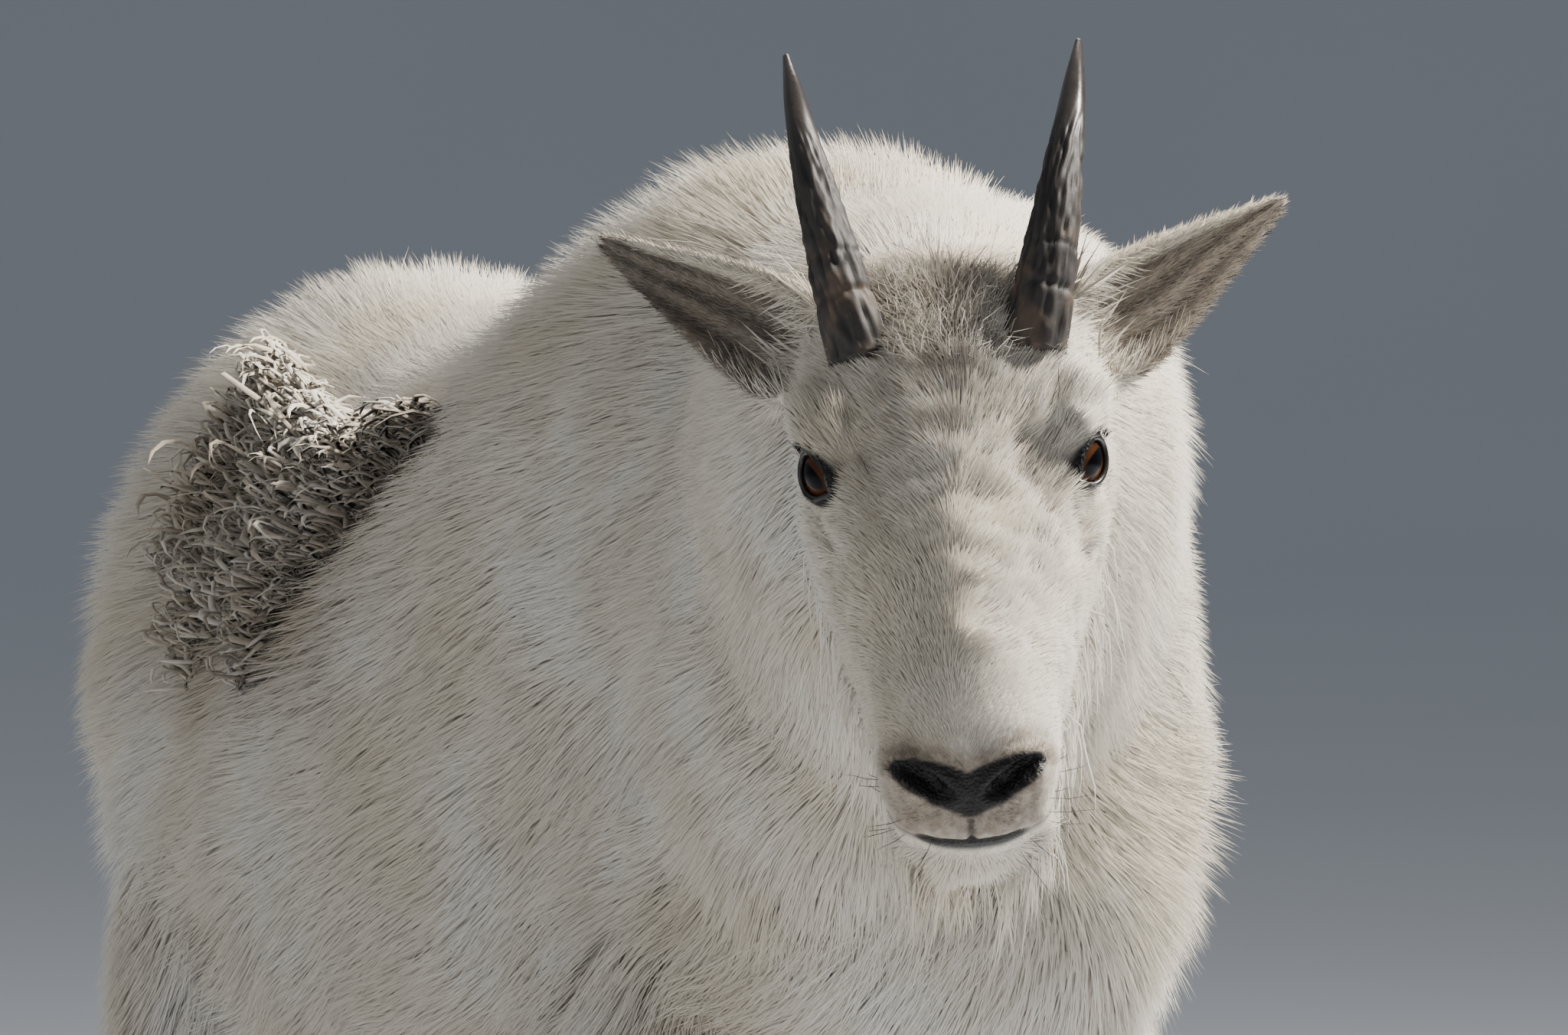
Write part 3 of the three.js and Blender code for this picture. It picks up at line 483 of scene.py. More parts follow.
def ear_surface(name):
    """One ear as a thin cupped leaf, closed into a tube at its root, just inside the solid's."""
    root, along, opening, across = ear_axes(name)
    half = 20
    rings = []
    for share, width, depth, reach in row_at(EAR_SHAPE, np.linspace(0, 1, 46)):
        wide, deep = width * EAR_WIDTH / 2, depth * EAR_WIDTH / 2
        angle = math.radians(reach) * np.arange(-half, half + 1) / half
        middle = root + along * share * EAR_LENGTH

        def arc(inward):
            sideways = np.outer((wide - inward) * np.sin(angle), across)
            return middle + sideways + np.outer(deep - (deep - inward) * np.cos(angle), opening)

        thick = min(5.4 - 2.2 * share, deep * 0.55, wide * 0.5)
        rings.append(np.vstack([arc(0.5), arc(thick - 0.4)[::-1]]))
    tip = root + along * (EAR_LENGTH - 1) + opening * 3
    foot = root - along * 3 + opening * 8
    return closed(np.array(rings), foot, tip)


def eye_axes(side):
    look = unit(np.array([side * 0.84, -0.44, 0.3]))
    along = np.array([side * -0.5, -0.86, 0])
    along = unit(along - look * (along @ look))
    return look, along, np.cross(look, along)


def lid_ring(side, count, reach, grow=0.0):
    """Points round the lids' opening, reach times the eye's radius out from its middle."""
    look, along, across = eye_axes(side)
    angle = round_angles(count)
    rise = np.sign(np.sin(angle)) * np.abs(np.sin(angle)) ** 1.3
    width = (LID_WIDTH * EYE_RADIUS + grow) * np.cos(angle)
    height = (LID_HEIGHT * EYE_RADIUS + grow) * rise
    tear = np.exp(-(((angle + np.pi) % (2 * np.pi) - np.pi) ** 2) / 0.12) * 2.2
    return (
        eye_place(side)
        + look * reach * EYE_RADIUS
        + np.outer(width + tear, along)
        + np.outer(height - np.sign(across[2]) * tear * 0.5, across)
    )


def eye_opening(side):
    rings = []
    for reach in (0.6, 0.9, 1.2, 1.9):
        rings.append(lid_ring(side, 48, reach, min(0.2 * EYE_RADIUS * (reach - 1), 3)))
    look, _, _ = eye_axes(side)
    return closed(np.array(rings), eye_place(side), eye_place(side) + look * 2.2 * EYE_RADIUS)


NOSTRIL_PATH = np.array([[8, 19], [14, 21.5], [20, 25], [26, 29], [30.5, 31.5]], float)


def head_bumps(side):
    """The brow, the cheekbone, the lid ball, the wing of the nose and the lips of one side."""
    return [
        ball(eye_place(side), EYE_RADIUS + 2.6 + np.zeros(3), rings=40, sides=60),
        ball([side * 49, -110, 31], [15, 22, 12]),
        ball([side * 50, -128, -3], [10, 28, 8]),
        ball([side * 20, -266, -17], [12, 16, 9.5]),
        ball([side * 15, -270, -39], [17, 13, 8.5]),
        ball([side * 10, -262, -69], [14, 16, 11]),
    ]


def muzzle_height(head):
    """How high each place is above the middle of the mouth, square to the slope of the nose."""
    return 0.755 * head[:, 2] + 0.656 * head[:, 1] + 217.6


def nostril_distance(x, height):
    """How far each place is from the line of a nostril, and its share along it."""
    fine = row_at(NOSTRIL_PATH, np.linspace(0, 1, 25))
    away = np.hypot(x[:, None] - fine[:, 0], height[:, None] - fine[:, 1])
    return away.min(1), away.argmin(1) / 24


def mouth_height(s):
    """How high the line of the mouth runs, at each distance forward."""
    return np.interp(s, [206, 218, 238, 258, 276, 300], [-60, -57, -51, -46, -42, -41])


def sculpt_head(made):
    """The nostrils, the groove under the nose, the line of the mouth and the folds of the face."""
    points = to_head(points_of(made))
    out = points_of(made, "normal") @ HEAD_TURN
    flip = np.ones_like(points)
    flip[:, 0] = np.sign(points[:, 0])
    mirrored = points * flip
    x, s, z = mirrored[:, 0], -mirrored[:, 1], mirrored[:, 2]
    front = smooth(s, 244, 256)
    away, share = nostril_distance(x, muzzle_height(mirrored))
    radius = np.interp(share, [0, 0.25, 0.6, 1], [2.2, 3.8, 4.8, 2.0])
    hole = (1 - smooth(away, radius * 0.5, radius * 1.2)) * front
    depth = 9 * np.sin(np.pi * np.clip(share, 0.06, 0.94))
    push = (hole * depth)[:, None] * unit(np.array([0.0, 1, -0.15]))
    groove = hill(x / 1.5) * smooth(s, 266, 276) * smooth(-z, 28, 32) * smooth(z, -43, -40)
    push[:, 1] += groove * 3.2
    line = mouth_height(s)
    push[:, 1] += smooth(line - z, 0, 5) * smooth(s, 230, 268) * 3.5
    rim = hill((away - radius * 1.9) / 2.2) * front * 0.9
    mouth = hill((z - line) / 1.7) * smooth(s, 208, 224) * (1 - 0.6 * smooth(x, 20, 28)) * -3.4
    hollow = np.exp(-((z - 4) ** 2) / 90 - (s - 158) ** 2 / 330) * smooth(x, 30, 46) * -3.2
    socket = np.exp(-((x - 31) ** 2) / 120 - (s - 143) ** 2 / 560) * smooth(z, 12, 32) * -4.6
    bridge = hill(x / 13) * band(s, 112, 150, 226, 250) * smooth(out[:, 2], 0.3, 0.8) * 3.6
    crest = hill((z + 18) / 9) * band(s, 120, 150, 190, 220) * smooth(x, 30, 40) * 2.2
    beside = np.exp(-((x - 30) ** 2) / 70 - (s - 205) ** 2 / 900) * smooth(z, -14, 0) * -1.8
    folds = np.sin(z * 0.9 + 0.06 * s) * np.exp(-((s - 238) ** 2) / 260) * band(-z, 34, 44, 52, 62)
    lumps = ripple(points, 30, 17) * 0.7 + ripple(points, 12, 18) * 0.35
    lumps = lumps * band(s, 30, 70, 225, 250)
    swell = rim + mouth + hollow + socket + bridge + crest + beside + folds * 0.35 + lumps
    push += out * swell[:, None]
    move_points(made, to_body(points + push))


def posed(surface):
    return to_body(surface[0]), surface[1]


head_parts = [HEAD.surface(120, 120), *head_bumps(1), *head_bumps(-1)]
head_parts += [ear_surface(name) for name in SIDES]
skin_head = remeshed(piece("head_skin", *posed(joined(*head_parts))), HEAD_VOXEL, 4)
sculpt_head(skin_head)
for name, side in SIDES.items():
    socket = posed(ball(eye_place(side), EYE_RADIUS + 0.3 + np.zeros(3), rings=60, sides=90))
    combined(skin_head, piece("opening", *posed(eye_opening(side))), "DIFFERENCE")
    combined(skin_head, piece("socket", *socket), "DIFFERENCE")

body_parts = [TORSO.surface(90, 96), NECK.surface(60, 80), TAIL.surface(30, 24, 0.4)]
body_parts.append(ball([-62, -325, 640], [64, 110, 140]))  # the swell before her right shoulder
body_parts += [form.surface(60, 40, 0.1) for forms in LEGS.values() for form in forms]
skin = remeshed(piece("skin", *joined(*body_parts)), BODY_VOXEL, 8)
combined(skin, skin_head, "UNION")

# The creases where two forms meet are drawn smooth, round the head's back most of all.
points = points_of(skin)
FORMS = [TORSO, NECK, TAIL, *LEGS["left"], *LEGS["right"]]
near = np.sort([np.abs(form.locate(points)[2] - 1) for form in FORMS], axis=0)
head_gap = np.abs(HEAD.locate(to_head(points))[2] - 1)
apart = smooth(-to_head(points)[:, 1], 80, 110)
high = smooth(points[:, 2], 240, 330)
crease = (1 - smooth(near[0], 0.1, 0.45)) * (1 - smooth(near[1], 0.1, 0.45)) * high
crease = crease * (1 - smooth(-head_gap, -0.6, -0.3))
collar = (1 - smooth(head_gap, 0.05, 0.4)) * (1 - smooth(near[0], 0.05, 0.4)) * (1 - apart)
relaxed(skin, collar * 0.6, 30)
relaxed(skin, crease * 0.6, 130)


# The markings with some painted shade, worked out from the place on the body alone, for skin and
# coat alike.
NOSE_TOP = ([0, 5, 11, 22, 30, 33], [28, 30.5, 32.4, 35.2, 34.6, 31])
NOSE_FOOT = ([0, 3, 15, 25, 30, 33], [8.5, 9.5, 14.4, 21.3, 25.5, 31])


def wool_patch(points):
    """How much each place is under the loose old wool of her right flank."""
    along, high = (points[:, 1] - 112) / 128, (points[:, 2] - 656) / 62
    return np.exp(-(along**4) - high**4) * smooth(-points[:, 0], 70, 100)


def markings(points):
    """How dusky, how yellow and how black the coat is at each place, from 0 to 1."""
    head = to_head(points)
    x, s, z = np.abs(head[:, 0]), -head[:, 1], head[:, 2]
    head_level = HEAD.locate(head)[2]
    muzzle = (s > 225) & (x < 50) & (z > -90) & (z < 10)
    near_head = (head_level < 1.5) | muzzle
    wander, mottle = ripple(points, 34, 5), ripple(points, 13, 6)
    forehead = hill((s - 112) / 38, x / 38) * smooth(z, 14, 32) * (0.52 + 0.34 * mottle)
    # painted shade: a dark patch behind the horns, for the hollow behind the crown's tuft
    cap = hill((s - 56) / 22, x / 26) * smooth(z, 28, 46) * (0.75 + 0.2 * mottle)
    cheek = hill((s - 150) / 22, (x - 34) / 13) * smooth(z, -4, 14) * (0.2 + 0.15 * mottle)
    front = smooth(s, 240, 258)
    height = muzzle_height(head)
    above = height - np.interp(x, *NOSE_TOP)
    below = np.interp(x, *NOSE_FOOT) - height
    over_mouth = z - mouth_height(s)
    fade = hill(np.maximum(above, 0) / 8) * front * (1 - smooth(x, 30, 42)) * (above > -4)
    lip = front * (below > -3) * smooth(over_mouth, -7, -1) * (1 - smooth(x, 26, 38)) * 0.92
    dusk = np.clip(forehead + cap + cheek + np.maximum(fade, lip), 0, 1) * near_head
    patch = wool_patch(points)
    dusk = np.clip(dusk + 0.5 * patch + 0.05 * wander, 0, 1)
    throat = smooth(-z, 62, 84) * band(s, 60, 100, 250, 285) * near_head
    feet = 1 - smooth(points[:, 2], 60, 330)
    belly = (1 - smooth(points[:, 2], 330, 470)) * 0.3
    body = 0.06 * (head_level > 1.2)
    yellow = body + 0.7 * throat + 0.45 * feet + belly + 0.3 * patch + 0.08 * wander
    pad = smooth(-above, -1, 1.5) * smooth(-below, -1, 1.5) * smooth(s, 244, 254)
    pad = pad * (1 - smooth(x, 33, 36))
    philtrum = 0.7 * (1 - smooth(x, 0.8, 2.4)) * smooth(s, 262, 270) * band(-z, 26, 30, 42, 45)
    lip_width = np.interp(x, [0, 16, 24], [5.2, 4.2, 2.2])
    opening = np.exp(-(((over_mouth + 3) / lip_width) ** 4)) * smooth(s, 212, 236)
    opening = opening * (1 - 0.65 * smooth(x, 20, 26))
    soot = np.maximum(np.maximum(pad, philtrum), opening) * near_head
    for side in SIDES.values():
        look, along, across = eye_axes(side)
        off = head - eye_place(side)
        wide, high = off @ along - 1.4, off @ across
        wide, high = wide / (LID_WIDTH * EYE_RADIUS + 3.4), high / (LID_HEIGHT * EYE_RADIUS + 2.2)
        rim = np.hypot(wide, high)
        lid = (1 - smooth(rim, 0.95, 1.25)) * (off @ look > 0)
        soot = np.maximum(soot, lid)
    return np.stack([dusk, np.clip(yellow, 0, 1), np.clip(soot, 0, 1)], -1)


EARS = {name: ear_axes(name) for name in SIDES}
EAR_EDGE = [row[1] * EAR_WIDTH / 2 for row in EAR_SHAPE]


def in_ear(head, axes):
    """How far along and across an ear each place of the head's frame is, and if it is in it."""
    root, along, opening, across = axes
    off = head - root
    reach, wide = off @ along / EAR_LENGTH, off @ across
    edge = np.interp(reach, [row[0] for row in EAR_SHAPE], EAR_EDGE)
    inside = (reach > 0.02) & (np.abs(wide) < edge + 6) & (np.abs(off @ opening - 9) < 26)
    return reach, wide / edge, inside


def all_marks(points, out):
    """The markings, with the brown streaked insides of the ears, deepened by painted shade of their
    cups.
    """
    marks = markings(points)
    head, facing = to_head(points), out @ HEAD_TURN
    for axes in EARS.values():
        reach, wide, inside = in_ear(head, axes)
        high = wide * np.sign(axes[3][2])
        inner = inside * smooth(facing @ axes[2], -0.1, 0.25)
        inner = inner * (1 - smooth(high, 0.42, 0.72)) * (1 - smooth(-high, 0.86, 1.05))
        streak = 0.5 + 0.5 * np.sin(wide * 11 + 1.6 * np.sin(reach * 5))
        # the insides' brown and black are partly their own colour and partly painted shade of the
        # ear's cup
        dusk = (0.84 + 0.16 * streak) * (1 - 0.4 * smooth(reach, 0.84, 1)) * smooth(reach, 0.0, 0.1)
        marks[:, 0] = np.maximum(marks[:, 0], inner * dusk)
        marks[:, 2] = np.maximum(marks[:, 2], inner * dusk * (0.36 + 0.4 * streak))
    return marks


class Paint:
    """A socket of a material's nodes. Arithmetic on it adds Math nodes."""

    def __init__(self, tree, socket=None):
        self.tree = tree
        self.socket = socket

    def node(self, kind, settings=None, values=None, out=0):
        made = self.tree.nodes.new(kind)
        for name, value in (settings or {}).items():
            setattr(made, name, value)
        for name, value in (values or {}).items():
            if isinstance(value, Paint):
                self.tree.links.new(value.socket, made.inputs[name])
            else:
                made.inputs[name].default_value = value
        return Paint(self.tree, made.outputs[out])

    def math(self, operation, *values):
        values = dict(enumerate((self, *values)))
        return self.node("ShaderNodeMath", {"operation": operation}, values)

    def __add__(self, other):
        return self.math("ADD", other)

    def __mul__(self, other):
        return self.math("MULTIPLY", other)

    def __sub__(self, other):
        return self.math("SUBTRACT", other)

    def __rsub__(self, other):
        return (self * -1) + other

    __radd__ = __add__
    __rmul__ = __mul__

    def clamped(self, low, high, start=0.0, end=1.0):
        values = {"Value": self, "From Min": low, "From Max": high, "To Min": start, "To Max": end}
        return self.node("ShaderNodeMapRange", {"interpolation_type": "SMOOTHSTEP"}, values)

    def mixed(self, other, share):
        """This colour with share of the other."""
        values = {0: share, 6: self, 7: other}
        return self.node("ShaderNodeMix", {"data_type": "RGBA"}, values, out=2)

    def between(self, low, high):
        """The colour from low to high that this value picks."""
        values = {0: self, 6: (*low, 1), 7: (*high, 1)}
        return self.node("ShaderNodeMix", {"data_type": "RGBA"}, values, out=2)

    def parts(self):
        """The three parts of this vector."""
        made = self.node("ShaderNodeSeparateXYZ", None, {"Vector": self}).socket.node
        return [Paint(self.tree, part) for part in made.outputs]

    def noise(self, scale, detail=3.0, rough=0.5, stretch=None):
        place = self.node("ShaderNodeTexCoord", out=3)
        if stretch:
            place = self.node("ShaderNodeMapping", None, {"Vector": place, "Scale": stretch})
        values = {"Vector": place, "Scale": scale, "Detail": detail, "Roughness": rough}
        return self.node("ShaderNodeTexNoise", None, values)

    def mark(self, name, out=0):
        return self.node("ShaderNodeAttribute", {"attribute_name": name}, out=out)


def new_material(name, **constants):
    """A material whose shader has these constants, with its tree and its shader."""
    made = bpy.data.materials.new(name)
    made.use_nodes = True
    tree = made.node_tree
    shader = tree.nodes["Principled BSDF"]
    for socket, value in constants.items():
        shader.inputs[socket.replace("_", " ")].default_value = value
    return made, Paint(tree), shader


def feed(paint, shader, **sockets):
    for socket, value in sockets.items():
        paint.tree.links.new(value.socket, shader.inputs[socket.replace("_", " ")])


def bumped(paint, height, depth, strength=0.6):
    values = {"Height": height, "Distance": depth, "Strength": strength}
    return paint.node("ShaderNodeBump", None, values)


CREAM = (0.80, 0.72, 0.58)
SNOW = (0.91, 0.87, 0.78)
DUN = (0.20, 0.155, 0.12, 1)
STRAW = (0.62, 0.46, 0.26, 1)
SOOT = (0.006, 0.005, 0.005, 1)


def coat_colour(paint, shade):
    """The coat's colour from its markings, darker by shade in the depth of the fur."""
    dusk, yellow, soot = paint.mark("marks", 1).parts()
    broad = paint.noise(9.0, 3.0).clamped(0.35, 0.65)
    fine = paint.noise(260.0, 2.0).clamped(0.3, 0.7)
    base = broad.between(CREAM, SNOW)
    base = base.mixed((0.60, 0.51, 0.40, 1), fine * 0.2)
    base = base.mixed(STRAW, yellow * 0.75)
    base = base.mixed(DUN, dusk * (0.72 + fine * 0.22))
    # painted shade, mixed in as a dark brown
    base = base.mixed((0.16, 0.11, 0.07, 1), shade)
    return base.mixed(SOOT, soot), soot, fine


def coat_material(name, depth, tint=0.3):
    """A coat with painted shade at its roots, as dark as depth says, and up to tint from one tuft
    to the next.
    """
    made, paint, shader = new_material(
        name, Sheen_Weight=0.15, Sheen_Roughness=0.4, Specular_IOR_Level=0.3
    )
    # painted shade: each tuft darkens towards its root, from depth at the root to none three
    # quarters of the way to its tip
    shade = paint.mark("share", 2).clamped(0.0, 0.75, depth, 0.0)
    base, _, fine = coat_colour(paint, shade)
    chance = paint.mark("chance", 2)
    base = base.mixed((0.46, 0.37, 0.27, 1), chance * chance * tint)
    feed(paint, shader, Base_Color=base, Roughness=fine * 0.15 + 0.62)
    return made


def skin_material():
    made, paint, shader = new_material("face_and_body_skin", Specular_IOR_Level=0.3)
    # painted shade: the skin seen between the tufts is darkened at random, 6 to 24 per cent of the
    # way to a dark brown
    shade = paint.noise(300.0, 3.0).clamped(0.3, 0.7, 0.06, 0.24)
    base, soot, fine = coat_colour(paint, shade)
    hair = paint.noise(420.0, 4.0, 0.6, (1.0, 0.35, 0.45))
    place = paint.node("ShaderNodeTexCoord", out=3)
    pores = paint.node("ShaderNodeTexVoronoi", None, {"Vector": place, "Scale": 700.0})
    height = hair * (1 - soot) + pores * soot * 0.6
    rough = 0.85 - soot * 0.42 + fine * 0.05
    feed(paint, shader, Base_Color=base, Roughness=rough, Normal=bumped(paint, height, 0.0012))
    return made


def give_marks(made, marks, share=None, chance=None):
    """The markings at each point, its share of the way to its tuft's tip, and its tuft's chance."""
    layer = made.data.attributes.new("marks", "FLOAT_VECTOR", "POINT")
    layer.data.foreach_set("vector", marks.astype(np.float32).ravel())
    for name, values in (("share", share), ("chance", chance)):
        if values is not None:
            layer = made.data.attributes.new(name, "FLOAT", "POINT")
            layer.data.foreach_set("value", values.astype(np.float32))


skin.data.materials.clear()
skin.data.materials.append(skin_material())
give_marks(skin, all_marks(points_of(skin), points_of(skin, "normal")))
skin.data.polygons.foreach_set("material_index", np.zeros(len(skin.data.polygons), np.int32))
skin.data.polygons.foreach_set("use_smooth", np.ones(len(skin.data.polygons), bool))

# The skin's triangles, and the part of the body that each belongs to.
skin.data.calc_loop_triangles()
SKIN_POINTS = points_of(skin)
SKIN_OUT = points_of(skin, "normal")
corners = np.zeros(len(skin.data.loop_triangles) * 3, np.int32)
skin.data.loop_triangles.foreach_get("vertices", corners)
SKIN_TRIS = corners.reshape(-1, 3)
a, b, c = (SKIN_POINTS[SKIN_TRIS[:, k]] for k in range(3))
TRI_AREA = np.linalg.norm(np.cross(b - a, c - a), axis=1) / 2
TRI_MIDDLE = (a + b + c) / 3

levels = np.array([form.locate(TRI_MIDDLE)[2] for form in FORMS])
head_level = HEAD.locate(to_head(TRI_MIDDLE))[2]
body_part = levels.argmin(0)
tri_head = to_head(TRI_MIDDLE)
ear_share = np.zeros(len(TRI_MIDDLE))
for axes in EARS.values():
    reach, _, inside = in_ear(tri_head, axes)
    on_ear = inside & (reach > 0.03) & (head_level > 1.06)
    ear_share = np.where(on_ear, np.maximum(reach, ear_share), ear_share)
is_ear = ear_share > 0
eye_gap = to_nearer_eye(tri_head)
is_head = (head_level < levels.min(0) * 1.02) & (tri_head[:, 1] < 30) | (eye_gap < EYE_RADIUS + 12)
is_head &= ~is_ear & (eye_gap > EYE_RADIUS + 1)
is_body = ~is_head & ~is_ear & (eye_gap > EYE_RADIUS + 3)
SOOT_AT = markings(TRI_MIDDLE)[:, 2]
tri_out = unit(np.cross(b - a, c - a))
tri_head_out = tri_out @ HEAD_TURN


def scattered(where, count, seed, density=None):
    """Evenly scattered places on the skin: their points, the way out, and their triangles."""
    draw = np.random.default_rng(seed)
    weight = TRI_AREA * where * (1 if density is None else density)
    total = np.cumsum(weight)
    picks = (np.arange(count) + draw.uniform(0, 1, count)) / count * total[-1]
    tri = np.searchsorted(total, picks).clip(0, len(total) - 1)
    u, v = draw.uniform(0, 1, (2, count))
    flip = u + v > 1
    u, v = np.where(flip, 1 - u, u), np.where(flip, 1 - v, v)
    share = np.stack([1 - u - v, u, v], -1)[..., None]
    points = (SKIN_POINTS[SKIN_TRIS[tri]] * share).sum(1)
    out = unit((SKIN_OUT[SKIN_TRIS[tri]] * share).sum(1))
    return points, out, tri


def tangent(ways, out):
    return unit(ways - out * (ways * out).sum(-1, keepdims=True))


def turned(ways, out, angles):
    return ways * np.cos(angles)[:, None] + np.cross(out, ways) * np.sin(angles)[:, None]


def paths(lie, out, length, lifts, hang=None):
    """The steps of each tuft: along its lie, lifted off the skin by an angle for each step."""
    steps = []
    for k, lift in enumerate(lifts):
        lift = np.broadcast_to(lift, length.shape)[:, None]
        way = lie * np.cos(lift) + out * np.sin(lift)
        if hang is not None:
            way = unit(way + hang[k] * DOWN)
        steps.append(way * (length / len(lifts))[:, None])
    return np.stack(steps, 1)


# How wide a tuft is at each of its bends, by their number.
TAPERS = {
    1: [1.0],
    2: [0.75, 1.0],
    3: [0.7, 1.0, 0.75],
    4: [0.7, 1.0, 0.85, 0.55],
    6: [0.8, 1.0, 1.0, 0.9, 0.7, 0.45],
}
PATCH = 0.003  # the size of one tuft's patch in the map


def tufts(name, roots, out, steps, width, patch, material, soft=0.55, marks=None):
    """Many tapered, three-sided tufts as one piece, each along its own steps."""
    count, bends = steps.shape[:2]
    knots = np.concatenate([roots[:, None], roots[:, None] + np.cumsum(steps, 1)], 1)
    heading = unit(steps)
    side = unit(np.cross(heading, out[:, None]))
    ridge = np.cross(side, heading)
    half = width[:, None, None] * np.array(TAPERS[bends])[None, :, None] / 2
    spokes = np.stack([side * half, ridge * half * 0.8, -side * half], 2)
    rings = knots[:, :-1, None] + spokes
    size = 3 * bends + 1
    points = np.concatenate([rings.reshape(count, -1, 3), knots[:, -1:]], 1)
    spread = np.concatenate([unit(spokes).reshape(count, -1, 3), out[:, None]], 1)
    shading = unit(spread * (1 - soft) + out[:, None] * soft)
    starts = 3 * np.arange(bends - 1)
    quads = [[k + j + 1, k + j, k + j + 3, k + j + 4] for k in starts for j in (0, 1)]
    quads += [[k, k + 2, k + 5, k + 3] for k in starts]
    last = 3 * (bends - 1)
    ends = [[last + 1, last, size - 1], [last + 2, last + 1, size - 1], [last, last + 2, size - 1]]
    first = (np.arange(count) * size)[:, None, None]
    parts = [np.array(part)[None] for part in (quads, ends) if part]
    faces = [(first + part).reshape(-1, part.shape[2]) for part in parts]
    made = piece(name, points.reshape(-1, 3), faces, material)
    tip_share = np.concatenate([np.repeat(np.arange(bends) / bends, 3), [1.0]])
    tip_share = np.broadcast_to(tip_share, (count, size)).ravel()
    marks = all_marks(roots, out) if marks is None else marks
    chance = np.random.default_rng(count).uniform(0, 1, count)
    give_marks(made, np.repeat(marks, size, axis=0), tip_share, np.repeat(chance, size))
    made.data.normals_split_custom_set_from_vertices(shading.reshape(-1, 3))
    offsets = [[(j - 1) / 3, k / bends - 0.5] for k in range(bends) for j in range(3)]
    places = (patch[:, None] + PATCH * np.array([*offsets, [0, 0.5]])[None]).reshape(-1, 2)
    loops = np.zeros(len(made.data.loops), np.int32)
    made.data.loops.foreach_get("vertex_index", loops)
    layer = made.data.uv_layers.new(name="OFBake")
    layer.data.foreach_set("uv", places[loops].astype(np.float32).ravel())
    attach(made, "root")
    return made


def unwrapped(form, points):
    """The places of points on the form's own unwrap, and their shares along it."""
    share, angle, _ = form.locate(to_head(points) if form is HEAD else points)
    return np.stack([(angle / (2 * np.pi)) % 1, share], -1) * 0.97 + 0.015, share


BODY_FUR = coat_material("body_fur", 0.26, 0.22)
FACE_FUR = coat_material("face_fur", 0.3, 0.4)
LEG_FUR = coat_material("leg_fur", 0.25)
EAR_FUR = coat_material("ear_fur", 0.2)
FEW = 1.0  # the share of the tufts that are made
LONGEST_TUFT = 58


def fur(name, region, form, count, seed, lie, lean, width, material, slot, long=None, soft=0.78):
    """A region's fur as fine straight tufts that lean off the skin, as deep as the coat there."""
    count = int(count * FEW)
    roots, out, _ = scattered(region, count, seed)
    draw = np.random.default_rng(seed + 1)
    swirl = 0.3 * ripple(roots, 95, seed + 2) + 0.15 * ripple(roots, 24, seed + 3)
    aim = turned(tangent(lie(roots, out), out), out, swirl + draw.normal(0, 0.15, count))
    lift = lean + 0.14 * lean * ripple(roots, 19, seed + 4) + draw.normal(0, 0.17 * lean, count)
    lift = np.clip(lift, 0.12, 1.25)
    patch, share = unwrapped(form, roots)
    size = form.skin_depth(share) / np.sin(lift) if long is None else long(roots)
    size = size * draw.uniform(0.72, 1.1, count) * (1 + 0.1 * ripple(roots, 33, seed + 5))
    size = np.minimum(size, LONGEST_TUFT)
    sunk = roots - out * np.minimum(1.4, size * 0.05)[:, None]
    wide = np.minimum(width, size * 0.13) * draw.uniform(0.75, 1.3, count)
    steps = paths(aim, out, size, [lift])
    return tufts(name, sunk, out, steps, wide, patch, material, soft)


def torso_lie(points, out):
    over = smooth(out[:, 2], 0.2, 0.9)[:, None]
    return np.array([0, 1, -0.9]) * (1 - over) + np.array([0, 1, -0.15]) * over


def toward(way):
    return lambda points, out: np.broadcast_to(np.array(way, float), points.shape)


along_torso = TRI_MIDDLE[:, 1]
for name, low, high, count, seed in (
    ("coat_shoulders", -500, -175, 46000, 101),
    ("coat_ribs", -175, 10, 44000, 106),
    ("coat_flanks", 10, 190, 42000, 111),
    ("coat_rump", 190, 500, 40000, 121),
):
    region = is_body & (body_part == 0) & (along_torso >= low) & (along_torso < high)
    region = region * (1 - 0.8 * wool_patch(TRI_MIDDLE))
    fur(name, region, TORSO, count, seed, torso_lie, 0.6, 1.3, BODY_FUR, "body_coat")
neck_lie, down = toward((0.25, 0.8, -0.8)), toward((0, 0.15, -1))
neck = is_body & (body_part == 1)
fur("coat_neck", neck, NECK, 50000, 131, neck_lie, 0.55, 1.25, BODY_FUR, "body_coat")
tail, tail_lie = is_body & (body_part == 2), toward((0, 0.2, -1))
tail_looks = (0.3, 1.4, BODY_FUR, "body_coat", lambda points: 30.0)
fur("coat_tail", tail, TAIL, 4500, 141, tail_lie, *tail_looks)
# How far each lot of tufts leans off the skin, how wide they are, and their material and slot.
CHAPS = (0.45, 1.7, BODY_FUR, "body_coat")
SHANKS = (0.28, 1.3, LEG_FUR, "leg_coat")
for side_at, name in enumerate(SIDES):
    for at, (part, leg, count, looks) in enumerate(
        (
            ("chaps_fore", 0, 9000, CHAPS),
            ("chaps_hind", 2, 11000, CHAPS),
            ("shank_fore", 1, 6500, SHANKS),
            ("shank_hind", 3, 7000, SHANKS),
        )
    ):
        region = is_body & (body_part == 3 + 4 * side_at + leg)
        seed = 151 + 50 * side_at + 10 * at
        fur(f"{part}_{name}", region, LEGS[name][leg], count, seed, down, *looks)


def face_lie(points, out):
    """The lie of the face's hair: up the face and parted along its middle, away from the eyes."""
    head, turned_out = to_head(points), out @ HEAD_TURN
    top = smooth(turned_out[:, 2], 0.2, 0.8)
    away = np.stack([0.7 * np.tanh(head[:, 0] / 7) * top, 1 + 0 * top, -0.55 * (1 - top)], -1)
    for side in SIDES.values():
        off = head - eye_place(side)
        near = np.exp(-((np.linalg.norm(off, axis=1) / 34) ** 2))[:, None]
        away = away + unit(off) * near * 0.7
    return away @ HEAD_TURN.T


